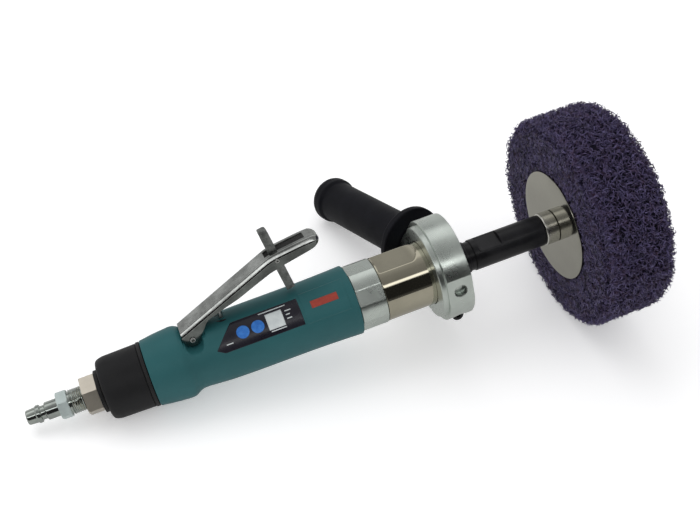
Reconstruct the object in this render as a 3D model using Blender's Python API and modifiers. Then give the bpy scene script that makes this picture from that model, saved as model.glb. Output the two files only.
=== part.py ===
"""Straight air die grinder with a throttle lever, a side handle and a soft wheel.

The tool lies along X, with its spindle pointing to +X, its throttle lever on +Z and
its side handle towards +Y. The origin is the centre of the spindle's front end face.
Stations along the tool are X coordinates in metres, so they are negative.
"""

import bpy
import bmesh
from math import acos, cos, pi, radians, sin, sqrt, tan
from mathutils import Matrix, Vector

# ---------------------------------------------------------------- driving dimensions
GAP = 0.0003                 # clearance between pieces that touch
TURN_STEPS = 32              # facets around the outer pieces
INNER_STEPS = 20             # facets around the hidden pieces
WHEEL_STEPS = 48             # facets around the wheel and its flanges

# stations along the spindle, from the front end to the air inlet
SPINDLE_END = 0.0
NUT_FRONT = -0.002
NUT_LENGTH = 0.0065
LOCK_WASHER_THICK = 0.0022
FLANGE_THICK = 0.003
WHEEL_WIDTH = 0.049
FLANGE_FACE = -0.067         # rear face of the rear flange
COLLAR_LENGTH = 0.0096
RING_FRONT = FLANGE_FACE - 0.0775
RING_WIDTH = 0.018
RING_LIP = 0.0035
GEAR_CASE_REAR = FLANGE_FACE - 0.134
NUT_REAR = FLANGE_FACE - 0.153
BODY_REAR = FLANGE_FACE - 0.295
CAP_FRONT = FLANGE_FACE - 0.2980
CAP_REAR = FLANGE_FACE - 0.3262
HEX_FRONT = FLANGE_FACE - 0.3294
HEX_REAR = FLANGE_FACE - 0.3390
PLUG_HEX_FRONT = FLANGE_FACE - 0.3492
PLUG_HEX_REAR = FLANGE_FACE - 0.3560
PLUG_TIP = FLANGE_FACE - 0.3770

# radii of the turned pieces
WHEEL_RADIUS = 0.0775
FLANGE_RADIUS = 0.040
ARBOR_RADIUS = 0.008
COLLAR_RADIUS = 0.0116
SHAFT_RADIUS = 0.0111
BUSHING_RADIUS = 0.0128
FRONT_SHOULDER = 0.0080      # rounding of the wheel's front edge
REAR_SHOULDER = 0.0045       # rounding of the wheel's rear edge
WHEEL_BULGE = 0.0023         # how far the wheel stands out behind its clamped middle
RING_RADIUS = 0.036
RING_LIP_RADIUS = 0.033
GEAR_CASE_RADIUS = 0.0225
GEAR_CASE_FLAT = 0.0195      # distance of the wrench flats from the axis
CLAMP_NUT_RADIUS = 0.023
CLAMP_NUT_FLAT = 0.0222
SPIGOT_RADIUS = 0.0193
BODY_BORE = 0.0196
GEAR_BORE = 0.0175
BEARING_BORE = 0.0160
CAP_RADIUS = 0.0217

# throttle lever, in the plane y = 0
LEVER_PIVOT = (FLANGE_FACE - 0.262, 0.0188)
LEVER_WIDTH = 0.0165
LEVER_SHEET = 0.0014
LEVER_PIN_RADIUS = 0.0020
LOCK_PIVOT = (FLANGE_FACE - 0.1954, 0.0537)
LOCK_PIN_RADIUS = 0.0015
LOCK_FOOT = 0.0272           # reach of the lock's foot below its pin
LOCK_TAB = 0.0212            # reach of the lock's thumb tab above its pin
LOCK_LEAN = radians(10.0)
LOCK_THICK = 0.0058

# throttle valve, a vertical bore in the body
VALVE_X = FLANGE_FACE - 0.240
STEM_TOP = 0.0359
STEM_RADIUS = 0.0018

# side handle, which leans back from the ring
HANDLE_LEAN = radians(17.0)
HANDLE_ROOT = FLANGE_FACE - 0.0779
HANDLE_START = 0.0432
HANDLE_GRIP = 0.0950
HANDLE_LENGTH = 0.1088
GRIP_RADIUS = 0.0158
GUARD_RADIUS = 0.0256
BEAD_RADIUS = 0.0176
STUD_RADIUS = 0.0040
RING_MIDDLE = RING_FRONT - RING_WIDTH / 2
RING_FLAT = 0.0346           # distance of the near flat from the axis

# planetary reduction, 42-tooth ring around a 12-tooth sun
MODULE = 0.0007
SUN_TEETH = 12
PLANET_TEETH = 15
RING_TEETH = 42
PLANETS = 3
PRESSURE_ANGLE = radians(25.0)
BACKLASH = 0.00016
PLANET_ORBIT = MODULE * (SUN_TEETH + PLANET_TEETH) / 2
GEAR_REAR = FLANGE_FACE - 0.1325
GEAR_FRONT = FLANGE_FACE - 0.1195

# vane motor
ROTOR_RADIUS = 0.0122
CYLINDER_BORE = 0.0144
CYLINDER_OFFSET = 0.0019
VANES = 5
ROTOR_REAR = FLANGE_FACE - 0.2217
ROTOR_FRONT = FLANGE_FACE - 0.1723

ALONG_X = Matrix(((0, 0, 1), (1, 0, 0), (0, 1, 0))).to_euler()
ALONG_Y = Matrix(((1, 0, 0), (0, 0, -1), (0, 1, 0))).to_euler()

for old in list(bpy.data.objects):
    bpy.data.objects.remove(old, do_unlink=True)
PARTS = bpy.data.collections.new("die_grinder")
CUTTERS = bpy.data.collections.new("cutters")
bpy.context.scene.collection.children.link(PARTS)
bpy.context.scene.collection.children.link(CUTTERS)


# ---------------------------------------------------------------- materials
FINISHES = {
    "teal_composite": ((0.045, 0.185, 0.180), 0.50, 0.0),
    "black_rubber": ((0.020, 0.020, 0.022), 0.65, 0.0),
    "black_plastic": ((0.025, 0.025, 0.027), 0.55, 0.0),
    "nickel": ((0.55, 0.51, 0.45), 0.28, 1.0),
    "bright_aluminium": ((0.72, 0.75, 0.75), 0.32, 1.0),
    "chrome": ((0.70, 0.70, 0.68), 0.15, 1.0),
    "stainless": ((0.58, 0.58, 0.55), 0.22, 1.0),
    "black_oxide": ((0.022, 0.024, 0.026), 0.38, 0.6),
    "tool_steel": ((0.42, 0.42, 0.42), 0.40, 1.0),
    "zinc_plate": ((0.60, 0.66, 0.67), 0.40, 1.0),
    "brass": ((0.72, 0.52, 0.22), 0.30, 1.0),
    "felt": ((0.55, 0.53, 0.48), 0.95, 0.0),
    "phenolic": ((0.30, 0.16, 0.07), 0.60, 0.0),
    "purple_fibre": ((0.060, 0.048, 0.120), 0.80, 0.0),
}


def finish(name):
    """The Principled material of that name, made once."""
    if name in bpy.data.materials:
        return bpy.data.materials[name]
    colour, roughness, metallic = FINISHES[name]
    material = bpy.data.materials.new(name)
    material.use_nodes = True
    shader = material.node_tree.nodes["Principled BSDF"]
    shader.inputs["Base Color"].default_value = (*colour, 1.0)
    shader.inputs["Roughness"].default_value = roughness
    shader.inputs["Metallic"].default_value = metallic
    return material


# ---------------------------------------------------------------- modelling helpers
def part(name, mesh, look):
    """Put a mesh into the object's collection as a sub-part."""
    obj = bpy.data.objects.new(name, mesh)
    PARTS.objects.link(obj)
    mesh.materials.clear()
    mesh.materials.append(finish(look))
    return obj


def hide_as_cutter(obj):
    """Move an object to the cutters, out of renders and drawn as wire."""
    for home in list(obj.users_collection):
        home.objects.unlink(obj)
    CUTTERS.objects.link(obj)
    obj.hide_render = True
    obj.display_type = "WIRE"
    return obj


def boolean(obj, cutter, operation="DIFFERENCE"):
    """Add an exact Boolean of a cutter to a part."""
    modifier = obj.modifiers.new(operation.title(), "BOOLEAN")
    modifier.operation = operation
    modifier.solver = "EXACT"
    modifier.object = cutter
    return obj


def smooth(obj, angle=35.0):
    """Shade a round piece smooth with its corners kept sharp."""
    obj.data.shade_smooth()
    obj.data.set_sharp_from_angle(angle=radians(angle))


def turned(name, profile, look, steps=INNER_STEPS, closed=False):
    """A turned piece on the X axis: profile is (station, radius) down its outer side."""
    bm = bmesh.new()
    points = [bm.verts.new((radius, 0.0, station)) for station, radius in profile]
    pairs = list(zip(points, points[1:]))
    if closed:
        pairs.append((points[-1], points[0]))
    for first, second in pairs:
        bm.edges.new((first, second))
    mesh = bpy.data.meshes.new(name)
    bm.to_mesh(mesh)
    bm.free()
    obj = part(name, mesh, look)
    obj.rotation_euler = ALONG_X
    screw = obj.modifiers.new("Turn", "SCREW")
    screw.axis = "Z"
    screw.steps = steps
    screw.render_steps = steps
    screw.use_merge_vertices = True
    screw.merge_threshold = 0.00001
    smooth(obj)
    return obj


def ring(name, front, rear, inner, outer, look, steps=INNER_STEPS):
    """A plain ring on the X axis between two stations."""
    profile = [(front, inner), (front, outer), (rear, outer), (rear, inner)]
    return turned(name, profile, look, steps, closed=True)


def flat_outline(name, outlines, thickness):
    """A mesh from closed outlines in local XY, extruded evenly about local Z."""
    curve = bpy.data.curves.new(name, "CURVE")
    curve.dimensions = "2D"
    curve.fill_mode = "BOTH"
    curve.extrude = thickness / 2
    for outline in outlines:
        spline = curve.splines.new("POLY")
        spline.points.add(len(outline) - 1)
        for point, (x, y) in zip(spline.points, outline):
            point.co = (x, y, 0.0, 1.0)
        spline.use_cyclic_u = True
    guide = bpy.data.objects.new(name + "_outline", curve)
    CUTTERS.objects.link(guide)
    graph = bpy.context.evaluated_depsgraph_get()
    mesh = bpy.data.meshes.new_from_object(guide.evaluated_get(graph))
    bpy.data.objects.remove(guide, do_unlink=True)
    bm = bmesh.new()
    bm.from_mesh(mesh)
    bmesh.ops.remove_doubles(bm, verts=bm.verts, dist=0.000001)
    bmesh.ops.recalc_face_normals(bm, faces=bm.faces)
    bm.to_mesh(mesh)
    bm.free()
    return mesh


def plate_x(name, outlines, front, rear, look):
    """Outlines in the YZ plane, extruded between two stations."""
    obj = part(name, flat_outline(name, outlines, front - rear), look)
    obj.rotation_euler = ALONG_X
    obj.location.x = (front + rear) / 2
    return obj


def plate_y(name, outlines, width, look):
    """Outlines in the XZ plane, extruded evenly about y = 0."""
    obj = part(name, flat_outline(name, outlines, width), look)
    obj.rotation_euler = ALONG_Y
    return obj


def box_cutter(name, low, high):
    """A box cutter between two corners."""
    bm = bmesh.new()
    bmesh.ops.create_cube(bm, size=1.0)
    size = [b - a for a, b in zip(low, high)]
    bmesh.ops.scale(bm, vec=size, verts=bm.verts)
    mesh = bpy.data.meshes.new(name)
    bm.to_mesh(mesh)
    bm.free()
    obj = bpy.data.objects.new(name, mesh)
    obj.location = [(a + b) / 2 for a, b in zip(low, high)]
    CUTTERS.objects.link(obj)
    return hide_as_cutter(obj)


def rod_mesh(name, radius, length, steps, far_radius=None):
    """A capped cylinder or cone along local Z, from 0 to its length."""
    bm = bmesh.new()
    bmesh.ops.create_cone(
        bm,
        cap_ends=True,
        segments=steps,
        radius1=radius,
        radius2=radius if far_radius is None else far_radius,
        depth=length,
    )
    bmesh.ops.translate(bm, vec=(0.0, 0.0, length / 2), verts=bm.verts)
    mesh = bpy.data.meshes.new(name)
    bm.to_mesh(mesh)
    bm.free()
    return mesh


def aim(obj, start, direction):
    """Place an object at a point with its local Z along a direction."""
    turn = Vector(direction).to_track_quat("Z", "Y").to_matrix().to_4x4()
    obj.matrix_world = Matrix.Translation(start) @ turn
    return obj


def rod_cutter(name, start, direction, length, radius, steps=INNER_STEPS):
    """A round cutter from a point along a direction."""
    obj = bpy.data.objects.new(name, rod_mesh(name, radius, length, steps))
    CUTTERS.objects.link(obj)
    aim(obj, start, direction)
    return hide_as_cutter(obj)


def arc(centre, radius, start, stop, count):
    """Points along an arc, angles in degrees, both ends included."""
    angles = [radians(start + (stop - start) * i / (count - 1)) for i in range(count)]
    return [(centre[0] + radius * cos(a), centre[1] + radius * sin(a)) for a in angles]


def circle(radius, count, centre=(0.0, 0.0), phase=0.0):
    """Points around a full circle."""
    angles = [phase + 2 * pi * i / count for i in range(count)]
    return [(centre[0] + radius * cos(a), centre[1] + radius * sin(a)) for a in angles]


def hexagon(flat_distance, phase):
    """Corners of a hexagon whose flats lie at a distance from the axis."""
    return circle(flat_distance / cos(pi / 6), 6, phase=phase)


def from_flange(millimetres):
    """A station given in millimetres behind the rear flange's rear face."""
    return FLANGE_FACE - millimetres / 1000


# ---------------------------------------------------------------- gears
def involute(angle):
    """The involute function of a pressure angle."""
    return tan(angle) - angle


def gear_outline(teeth, tip, root, thinning, phase, centre=(0.0, 0.0)):
    """A spur gear with involute flanks; thinning is taken off each tooth's width."""
    pitch = MODULE * teeth / 2
    base = pitch * cos(PRESSURE_ANGLE)
    half = pi / (2 * teeth) + involute(PRESSURE_ANGLE) - thinning / (2 * pitch)
    start = max(base, root)
    radii = [start + (tip - start) * i / 2 for i in range(3)]
    flank = [(radius, half - involute(acos(min(1.0, base / radius)))) for radius in radii]
    if root < base:
        flank.insert(0, (root, half))
    points = []
    for tooth in range(teeth):
        middle = phase + 2 * pi * tooth / teeth
        for radius, offset in flank:
            points.append((radius, middle - offset))
        for radius, offset in reversed(flank):
            points.append((radius, middle + offset))
    return [(centre[0] + r * cos(a), centre[1] + r * sin(a)) for r, a in points]


def planet_centre(index):
    """Where a planet's pin stands, in the YZ plane."""
    angle = 2 * pi * index / PLANETS
    return (PLANET_ORBIT * cos(angle), PLANET_ORBIT * sin(angle))


def build_gears():
    """The sun pinion, the planets on their pins, and the ring gear."""
    addendum = 0.85 * MODULE
    dedendum = 1.20 * MODULE
    sun_pitch = MODULE * SUN_TEETH / 2
    planet_pitch = MODULE * PLANET_TEETH / 2
    ring_pitch = MODULE * RING_TEETH / 2
    sun = gear_outline(SUN_TEETH, sun_pitch + addendum, sun_pitch - dedendum, BACKLASH, 0.0)
    plate_x("sun_pinion", [sun], GEAR_FRONT, from_flange(139.0), "tool_steel")
    for index in range(PLANETS):
        angle = 2 * pi * index / PLANETS
        centre = planet_centre(index)
        phase = angle + pi + pi / PLANET_TEETH
        teeth = gear_outline(
            PLANET_TEETH, planet_pitch + addendum, planet_pitch - dedendum, BACKLASH, phase
        )
        bore = circle(0.0022, 16)
        gear = plate_x(f"planet_gear_{index + 1}", [teeth, bore], GEAR_FRONT, GEAR_REAR, "tool_steel")
        gear.location.y = centre[0]
        gear.location.z = centre[1]
        pin = part(
            f"planet_pin_{index + 1}",
            rod_mesh("planet_pin", 0.0019, from_flange(112.8) - from_flange(133.2), 16),
            "tool_steel",
        )
        aim(pin, (from_flange(133.2), *centre), (1, 0, 0))
        smooth(pin)
    spaces = gear_outline(
        RING_TEETH, ring_pitch + dedendum, ring_pitch - addendum, -BACKLASH, 0.0
    )
    rim = circle(0.0172, 48)
    plate_x("ring_gear", [rim, spaces], from_flange(118.8), from_flange(133.5), "tool_steel")


# ---------------------------------------------------------------- spindle and wheel
def build_spindle():
    """The drive spindle with its planet carrier, wrench flats and threaded end."""
    profile = [
        (SPINDLE_END, 0.0),
        (SPINDLE_END, ARBOR_RADIUS - 0.0008),
        (SPINDLE_END - 0.0008, ARBOR_RADIUS),
        (from_flange(9.9), ARBOR_RADIUS),
        (from_flange(9.9), SHAFT_RADIUS - 0.0006),
        (from_flange(10.5), SHAFT_RADIUS),
        (from_flange(63.2), SHAFT_RADIUS),
        (from_flange(63.8), SHAFT_RADIUS - 0.0008),
        (from_flange(67.0), SHAFT_RADIUS - 0.0008),
        (from_flange(67.4), SHAFT_RADIUS + 0.0001),
        (from_flange(85.0), SHAFT_RADIUS + 0.0001),
        (from_flange(85.0), 0.0100),
        (from_flange(112.3), 0.0100),
        (from_flange(112.3), 0.0158),
        (from_flange(118.0), 0.0158),
        (from_flange(118.0), 0.0),
    ]
    spindle = turned("drive_spindle", profile, "black_oxide", 32)
    lean = radians(15.0)
    for side in (-1, 1):
        flat = box_cutter("spindle_flat", (-0.008, -0.012, 0.0085), (0.008, 0.012, 0.02))
        flat.matrix_world = (
            Matrix.Translation((from_flange(51.0), 0, 0))
            @ Matrix.Rotation(lean + (0 if side > 0 else pi), 4, "X")
            @ Matrix.Translation((0, 0, 0.01425))
        )
        boolean(spindle, flat)
    for index in range(PLANETS):
        start = (from_flange(119.0), *planet_centre(index))
        boolean(spindle, rod_cutter("pin_hole", start, (1, 0, 0), 0.0065, 0.0022, 16))


def build_wheel():
    """The open fibre wheel, its bushing, the two flanges, and what clamps them."""
    collar_front = FLANGE_FACE - GAP
    collar_rear = FLANGE_FACE - COLLAR_LENGTH
    bore = ARBOR_RADIUS + GAP
    collar = [
        (collar_front, bore),
        (collar_front, COLLAR_RADIUS),
        (collar_rear + 0.0005, COLLAR_RADIUS),
        (collar_rear, COLLAR_RADIUS - 0.0005),
        (collar_rear, bore),
    ]
    turned("shaft_collar", collar, "nickel", TURN_STEPS, closed=True)
    flange_front = FLANGE_FACE + FLANGE_THICK
    ring("rear_flange", flange_front, FLANGE_FACE, bore, FLANGE_RADIUS, "stainless", WHEEL_STEPS)
    rear = flange_front + GAP
    front = rear + WHEEL_WIDTH
    inner = BUSHING_RADIUS + GAP
    side = rear - WHEEL_BULGE
    recess = FLANGE_RADIUS + 0.0006
    shoulder = [
        (front - FRONT_SHOULDER * (1 - sin(a)), WHEEL_RADIUS - FRONT_SHOULDER * (1 - cos(a)))
        for a in (radians(step) for step in (90, 60, 30, 0))
    ]
    back = [
        (side + REAR_SHOULDER * (1 - sin(a)), WHEEL_RADIUS - REAR_SHOULDER * (1 - cos(a)))
        for a in (radians(step) for step in (0, 30, 60, 90))
    ]
    recessed = [(side, recess), (rear, recess), (rear, inner)]
    profile = [(front, inner)] + shoulder + back + recessed
    turned("grinding_wheel", profile, "purple_fibre", WHEEL_STEPS, closed=True)
    ring("wheel_bushing", front, rear, bore, BUSHING_RADIUS, "black_plastic")
    front_flange = front + GAP
    ring(
        "front_flange", front_flange + FLANGE_THICK, front_flange, bore,
        FLANGE_RADIUS, "stainless", WHEEL_STEPS,
    )
    washer_front = NUT_FRONT - NUT_LENGTH - GAP
    washer_rear = washer_front - LOCK_WASHER_THICK
    ring("lock_washer", washer_front, washer_rear, bore, 0.0120, "tool_steel")
    outlines = [hexagon(0.0120, 0.0), circle(bore, INNER_STEPS)]
    plate_x("spindle_nut", outlines, NUT_FRONT, NUT_FRONT - NUT_LENGTH, "zinc_plate")


# ---------------------------------------------------------------- gear case and handle
def build_gear_case():
    """The plated gear case, its bearings, nose retainer, cover plate and clamp nut."""
    profile = [
        (from_flange(79.0), BEARING_BORE),
        (from_flange(79.0), GEAR_CASE_RADIUS - 0.0006),
        (from_flange(79.6), GEAR_CASE_RADIUS),
        (GEAR_CASE_REAR + 0.0004, GEAR_CASE_RADIUS),
        (GEAR_CASE_REAR, GEAR_CASE_RADIUS - 0.0004),
        (GEAR_CASE_REAR, SPIGOT_RADIUS),
        (from_flange(163.0), SPIGOT_RADIUS),
        (from_flange(163.0), GEAR_BORE),
        (from_flange(112.0), GEAR_BORE),
        (from_flange(112.0), BEARING_BORE),
    ]
    case = turned("gear_housing", profile, "nickel", TURN_STEPS, closed=True)
    for side in (-1, 1):
        low = (from_flange(132.4), -0.03, min(side * GEAR_CASE_FLAT, side * 0.03))
        high = (from_flange(103.0), 0.03, max(side * GEAR_CASE_FLAT, side * 0.03))
        boolean(case, box_cutter("case_flat", low, high))
    race = BEARING_BORE - GAP
    ring("spindle_bearing_rear", from_flange(102.5), from_flange(111.4), 0.0103, race, "tool_steel")
    ring("bearing_spacer", from_flange(95.6), from_flange(102.2), 0.0135, race, "tool_steel")
    ring("spindle_bearing_front", from_flange(86.2), from_flange(95.3), 0.0103, race, "tool_steel")
    ring("nose_retainer", from_flange(79.4), from_flange(85.8), 0.0116, race, "black_oxide")
    ring("gear_cover_plate", from_flange(134.0), from_flange(136.4), 0.0062, 0.0172, "tool_steel")
    nut_front = GEAR_CASE_REAR - GAP
    nut_rear = NUT_REAR + GAP
    nut = ring(
        "clamp_nut", nut_front, nut_rear, SPIGOT_RADIUS + GAP,
        CLAMP_NUT_RADIUS, "bright_aluminium", TURN_STEPS,
    )
    flats = flat_outline("nut_flats", [hexagon(CLAMP_NUT_FLAT, 0.0)], 0.03)
    cutter = bpy.data.objects.new("nut_flats", flats)
    CUTTERS.objects.link(cutter)
    cutter.rotation_euler = ALONG_X
    cutter.location.x = (nut_front + nut_rear) / 2
    boolean(nut, hide_as_cutter(cutter), "INTERSECT")


def handle_axis():
    """Where the side handle starts on the spindle's axis, and the way it points."""
    return Vector((HANDLE_ROOT, 0, 0)), Vector((-sin(HANDLE_LEAN), cos(HANDLE_LEAN), 0))


def build_handle_ring():
    """The split clamp ring with its slanted boss, free threaded hole and clamp screw."""
    rear = RING_FRONT - RING_WIDTH
    inner = GEAR_CASE_RADIUS + GAP
    profile = [
        (RING_FRONT, inner),
        (RING_FRONT, RING_RADIUS - 0.0006),
        (RING_FRONT - 0.0006, RING_RADIUS),
        (rear + 0.0006, RING_RADIUS),
        (rear, RING_RADIUS - 0.0006),
        (rear, RING_LIP_RADIUS),
        (rear - RING_LIP, RING_LIP_RADIUS - 0.0008),
        (rear - RING_LIP, inner),
    ]
    collar = turned("handle_ring", profile, "bright_aluminium", TURN_STEPS, closed=True)
    root, way = handle_axis()
    boss = rod_cutter("handle_boss", root + way * 0.028, way, HANDLE_START - GAP - 0.028, 0.0125)
    boolean(collar, boss, "UNION")
    boolean(collar, rod_cutter("stud_hole", root + way * 0.012, way, 0.040, STUD_RADIUS + GAP, 16))
    boolean(collar, box_cutter("near_flat", (rear, -0.05, -0.02), (RING_FRONT + 0.001, -RING_FLAT, 0.02)))
    start = (RING_MIDDLE, -0.012, 0.0)
    boolean(collar, rod_cutter("free_hole", start, (0, -1, 0), 0.03, 0.0042, 16))
    split_low = (rear - 0.01, -0.0008, -0.045)
    split_high = (RING_FRONT + 0.01, 0.0008, -0.015)
    boolean(collar, box_cutter("ring_split", split_low, split_high))
    level = -0.0296
    boolean(collar, rod_cutter("screw_hole", (RING_MIDDLE, -0.03, level), (0, 1, 0), 0.043, 0.0028, 16))
    boolean(collar, rod_cutter("screw_seat", (RING_MIDDLE, -0.04, level), (0, 1, 0), 0.0255, 0.0052, 16))
    screw = part("ring_screw", rod_mesh("ring_screw", 0.0025, 0.0268, 16), "black_oxide")
    aim(screw, (RING_MIDDLE, -0.0148, level), (0, 1, 0))
    head = rod_cutter("screw_head", (RING_MIDDLE, -0.0198, level), (0, 1, 0), 0.0052, 0.0043, 16)
    boolean(screw, head, "UNION")
    boolean(screw, rod_cutter("screw_socket", (RING_MIDDLE, -0.03, level), (0, 1, 0), 0.0126, 0.0022, 6))


def build_side_handle():
    """The rubber side handle and the stud that holds it."""
    root, way = handle_axis()
    stud = part("handle_stud", rod_mesh("handle_stud", STUD_RADIUS, 0.050, 16), "zinc_plate")
    aim(stud, root + way * 0.025, way)
    smooth(stud)
    neck = 0.0055
    bore = STUD_RADIUS + GAP
    end = HANDLE_LENGTH
    profile = [
        (end, 0.0),
        (end, BEAD_RADIUS - 0.0060),
        (end - 0.0020, BEAD_RADIUS - 0.0020),
        (end - 0.0055, BEAD_RADIUS),
        (HANDLE_GRIP + 0.0012, BEAD_RADIUS),
        (HANDLE_GRIP, GRIP_RADIUS),
        (neck + 0.0020, GRIP_RADIUS),
        (neck, GRIP_RADIUS + 0.0020),
        (neck, GUARD_RADIUS - 0.0012),
        (neck - 0.0012, GUARD_RADIUS),
        (0.0010, GUARD_RADIUS),
        (0.0, GUARD_RADIUS - 0.0010),
        (0.0, bore),
        (0.0345, bore),
        (0.0345, 0.0),
    ]
    grip = turned("side_handle", profile, "black_rubber", TURN_STEPS)
    aim(grip, root + way * HANDLE_START, way)


# ---------------------------------------------------------------- body, cap and inlet
def build_body():
    """The composite motor body with its lever pockets, air ways and valve bore."""
    outer = [
        (NUT_REAR, 0.0237),
        (NUT_REAR - 0.0006, 0.0243),
        (from_flange(165), 0.0239),
        (from_flange(190), 0.0233),
        (from_flange(227), 0.0231),
        (from_flange(247), 0.0226),
        (from_flange(261), 0.0216),
        (from_flange(266.5), 0.0216),
        (from_flange(270.5), 0.0237),
        (from_flange(272.0), 0.0245),
        (from_flange(274.5), 0.0247),
        (from_flange(283), 0.0240),
        (from_flange(292), 0.0228),
        (BODY_REAR, 0.0224),
    ]
    inner = [
        (BODY_REAR, 0.0098),
        (from_flange(280.5), 0.0098),
        (from_flange(280.5), 0.0060),
        (from_flange(246), 0.0060),
        (from_flange(246), 0.0),
    ]
    profile = [(NUT_REAR, 0.0)] + outer + inner
    body = turned("motor_housing", profile, "teal_composite", TURN_STEPS)
    bore_start = (NUT_REAR + 0.001, 0, 0)
    bore_length = from_flange(152) - from_flange(231)
    boolean(body, rod_cutter("motor_bore", bore_start, (-1, 0, 0), bore_length, BODY_BORE, TURN_STEPS))
    pivot_x, pivot_z = LEVER_PIVOT
    reach = 0.0060
    notch = arc((pivot_x, pivot_z), reach, 180, 360, 9)
    notch = [(pivot_x - 0.0071, 0.04)] + [(pivot_x - 0.0071, pivot_z)] + notch[1:-1]
    notch = notch + [(pivot_x + 0.0085, pivot_z + 0.001), (pivot_x + 0.0160, 0.04)]
    for side in (-1, 1):
        mesh = flat_outline("pocket", [notch], 0.02)
        cutter = bpy.data.objects.new("lever_pocket", mesh)
        CUTTERS.objects.link(cutter)
        cutter.rotation_euler = ALONG_Y
        cutter.location.y = side * (LEVER_WIDTH / 2 - LEVER_SHEET - 0.00035 + 0.01)
        boolean(body, hide_as_cutter(cutter))
    pin_start = (pivot_x, -0.03, pivot_z)
    boolean(body, rod_cutter("pivot_hole", pin_start, (0, 1, 0), 0.06, LEVER_PIN_RADIUS + GAP, 16))
    boolean(body, rod_cutter("valve_bore", (VALVE_X, 0, 0.03), (0, 0, -1), 0.0485, 0.0045, 20))
    boolean(body, rod_cutter("guide_bore", (VALVE_X, 0, 0.03), (0, 0, -1), 0.016, 0.0053, 20))
    boolean(body, rod_cutter("inlet_way", (from_flange(251), 0, 0), (11, 0, -12), 0.0166, 0.0025, 16))
    boolean(body, rod_cutter("motor_way", (VALVE_X, 0, 0.0115), (1, 0, 0), 0.012, 0.0022, 16))


def build_exhaust():
    """The exhaust cap on the rear, with its felt, gasket and vent holes."""
    profile = [
        (CAP_FRONT, 0.0185),
        (CAP_FRONT, CAP_RADIUS),
        (CAP_REAR + 0.0045, CAP_RADIUS - 0.0005),
        (CAP_REAR + 0.0022, CAP_RADIUS - 0.0012),
        (CAP_REAR + 0.0007, CAP_RADIUS - 0.0022),
        (CAP_REAR, CAP_RADIUS - 0.0036),
        (CAP_REAR, 0.0098),
        (CAP_REAR + 0.0045, 0.0098),
        (CAP_REAR + 0.0045, 0.0185),
    ]
    cap = turned("exhaust_cap", profile, "black_plastic", TURN_STEPS, closed=True)
    vents = 8
    for index in range(vents):
        angle = 2 * pi * (index + 0.5) / vents
        start = (CAP_REAR - 0.005, 0.0161 * cos(angle), 0.0161 * sin(angle))
        boolean(cap, rod_cutter("vent", start, (1, 0, 0), 0.012, 0.0011, 8))
    ring("cap_gasket", CAP_FRONT + 0.0025, CAP_FRONT + GAP, 0.0100, 0.0222, "black_rubber", TURN_STEPS)
    ring("muffler_felt", CAP_FRONT - 0.0010, CAP_REAR + 0.0060, 0.0102, 0.0181, "felt")


def build_inlet():
    """The hexagon inlet bushing with its washer, and the plug nipple screwed into it."""
    profile = [
        (from_flange(281.0), 0.0050),
        (from_flange(281.0), 0.0095),
        (HEX_FRONT, 0.0095),
        (HEX_FRONT, 0.0160),
        (HEX_REAR, 0.0160),
        (HEX_REAR, 0.0087),
        (HEX_REAR + 0.0085, 0.0087),
        (HEX_REAR + 0.0085, 0.0050),
    ]
    bushing = turned("inlet_bushing", profile, "nickel", INNER_STEPS, closed=True)
    corner = radians(180 - 44)
    bushing_flats = hex_cutter("bushing_flats", 0.0118, corner, HEX_REAR - 0.001, from_flange(280))
    boolean(bushing, bushing_flats, "INTERSECT")
    boolean(bushing, chamfer_cutter("bushing_chamfer", HEX_REAR, 0.0122, 0.06), "INTERSECT")
    ring("inlet_washer", HEX_FRONT + 0.0029, HEX_FRONT + GAP, 0.0098, 0.0143, "black_rubber", 32)
    plug = [
        (HEX_REAR + 0.0080, 0.0030),
        (HEX_REAR + 0.0080, 0.0076),
        (HEX_REAR + 0.0072, 0.0084),
        (PLUG_HEX_FRONT + 0.0012, 0.0084),
        (PLUG_HEX_FRONT + 0.0012, 0.0074),
        (PLUG_HEX_FRONT, 0.0074),
        (PLUG_HEX_FRONT, 0.0120),
        (PLUG_HEX_REAR, 0.0120),
        (PLUG_HEX_REAR, 0.0060),
        (from_flange(364.3), 0.0060),
        (from_flange(364.9), 0.0046),
        (from_flange(367.5), 0.0046),
        (from_flange(368.0), 0.0060),
        (from_flange(370.2), 0.0060),
        (from_flange(370.8), 0.0053),
        (PLUG_TIP + 0.0008, 0.0049),
        (PLUG_TIP, 0.0044),
        (PLUG_TIP, 0.0030),
    ]
    nipple = turned("plug_nipple", plug, "zinc_plate", INNER_STEPS, closed=True)
    flats = hex_cutter("plug_flats", 0.0085, corner, PLUG_TIP - 0.001, HEX_REAR + 0.010)
    boolean(nipple, flats, "INTERSECT")


def hex_cutter(name, flat_distance, phase, rear, front):
    """A hexagonal prism between two stations, for cutting flats."""
    mesh = flat_outline(name, [hexagon(flat_distance, phase)], front - rear)
    obj = bpy.data.objects.new(name, mesh)
    CUTTERS.objects.link(obj)
    obj.rotation_euler = ALONG_X
    obj.location.x = (front + rear) / 2
    return hide_as_cutter(obj)


def chamfer_cutter(name, rear, start_radius, length):
    """A cone that opens forwards from a station, for chamfering a hexagon's corners."""
    spread = start_radius + length * 1.2
    mesh = rod_mesh(name, start_radius, length, 32, spread)
    obj = bpy.data.objects.new(name, mesh)
    CUTTERS.objects.link(obj)
    aim(obj, (rear - 0.00001, 0, 0), (1, 0, 0))
    return hide_as_cutter(obj)


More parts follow.
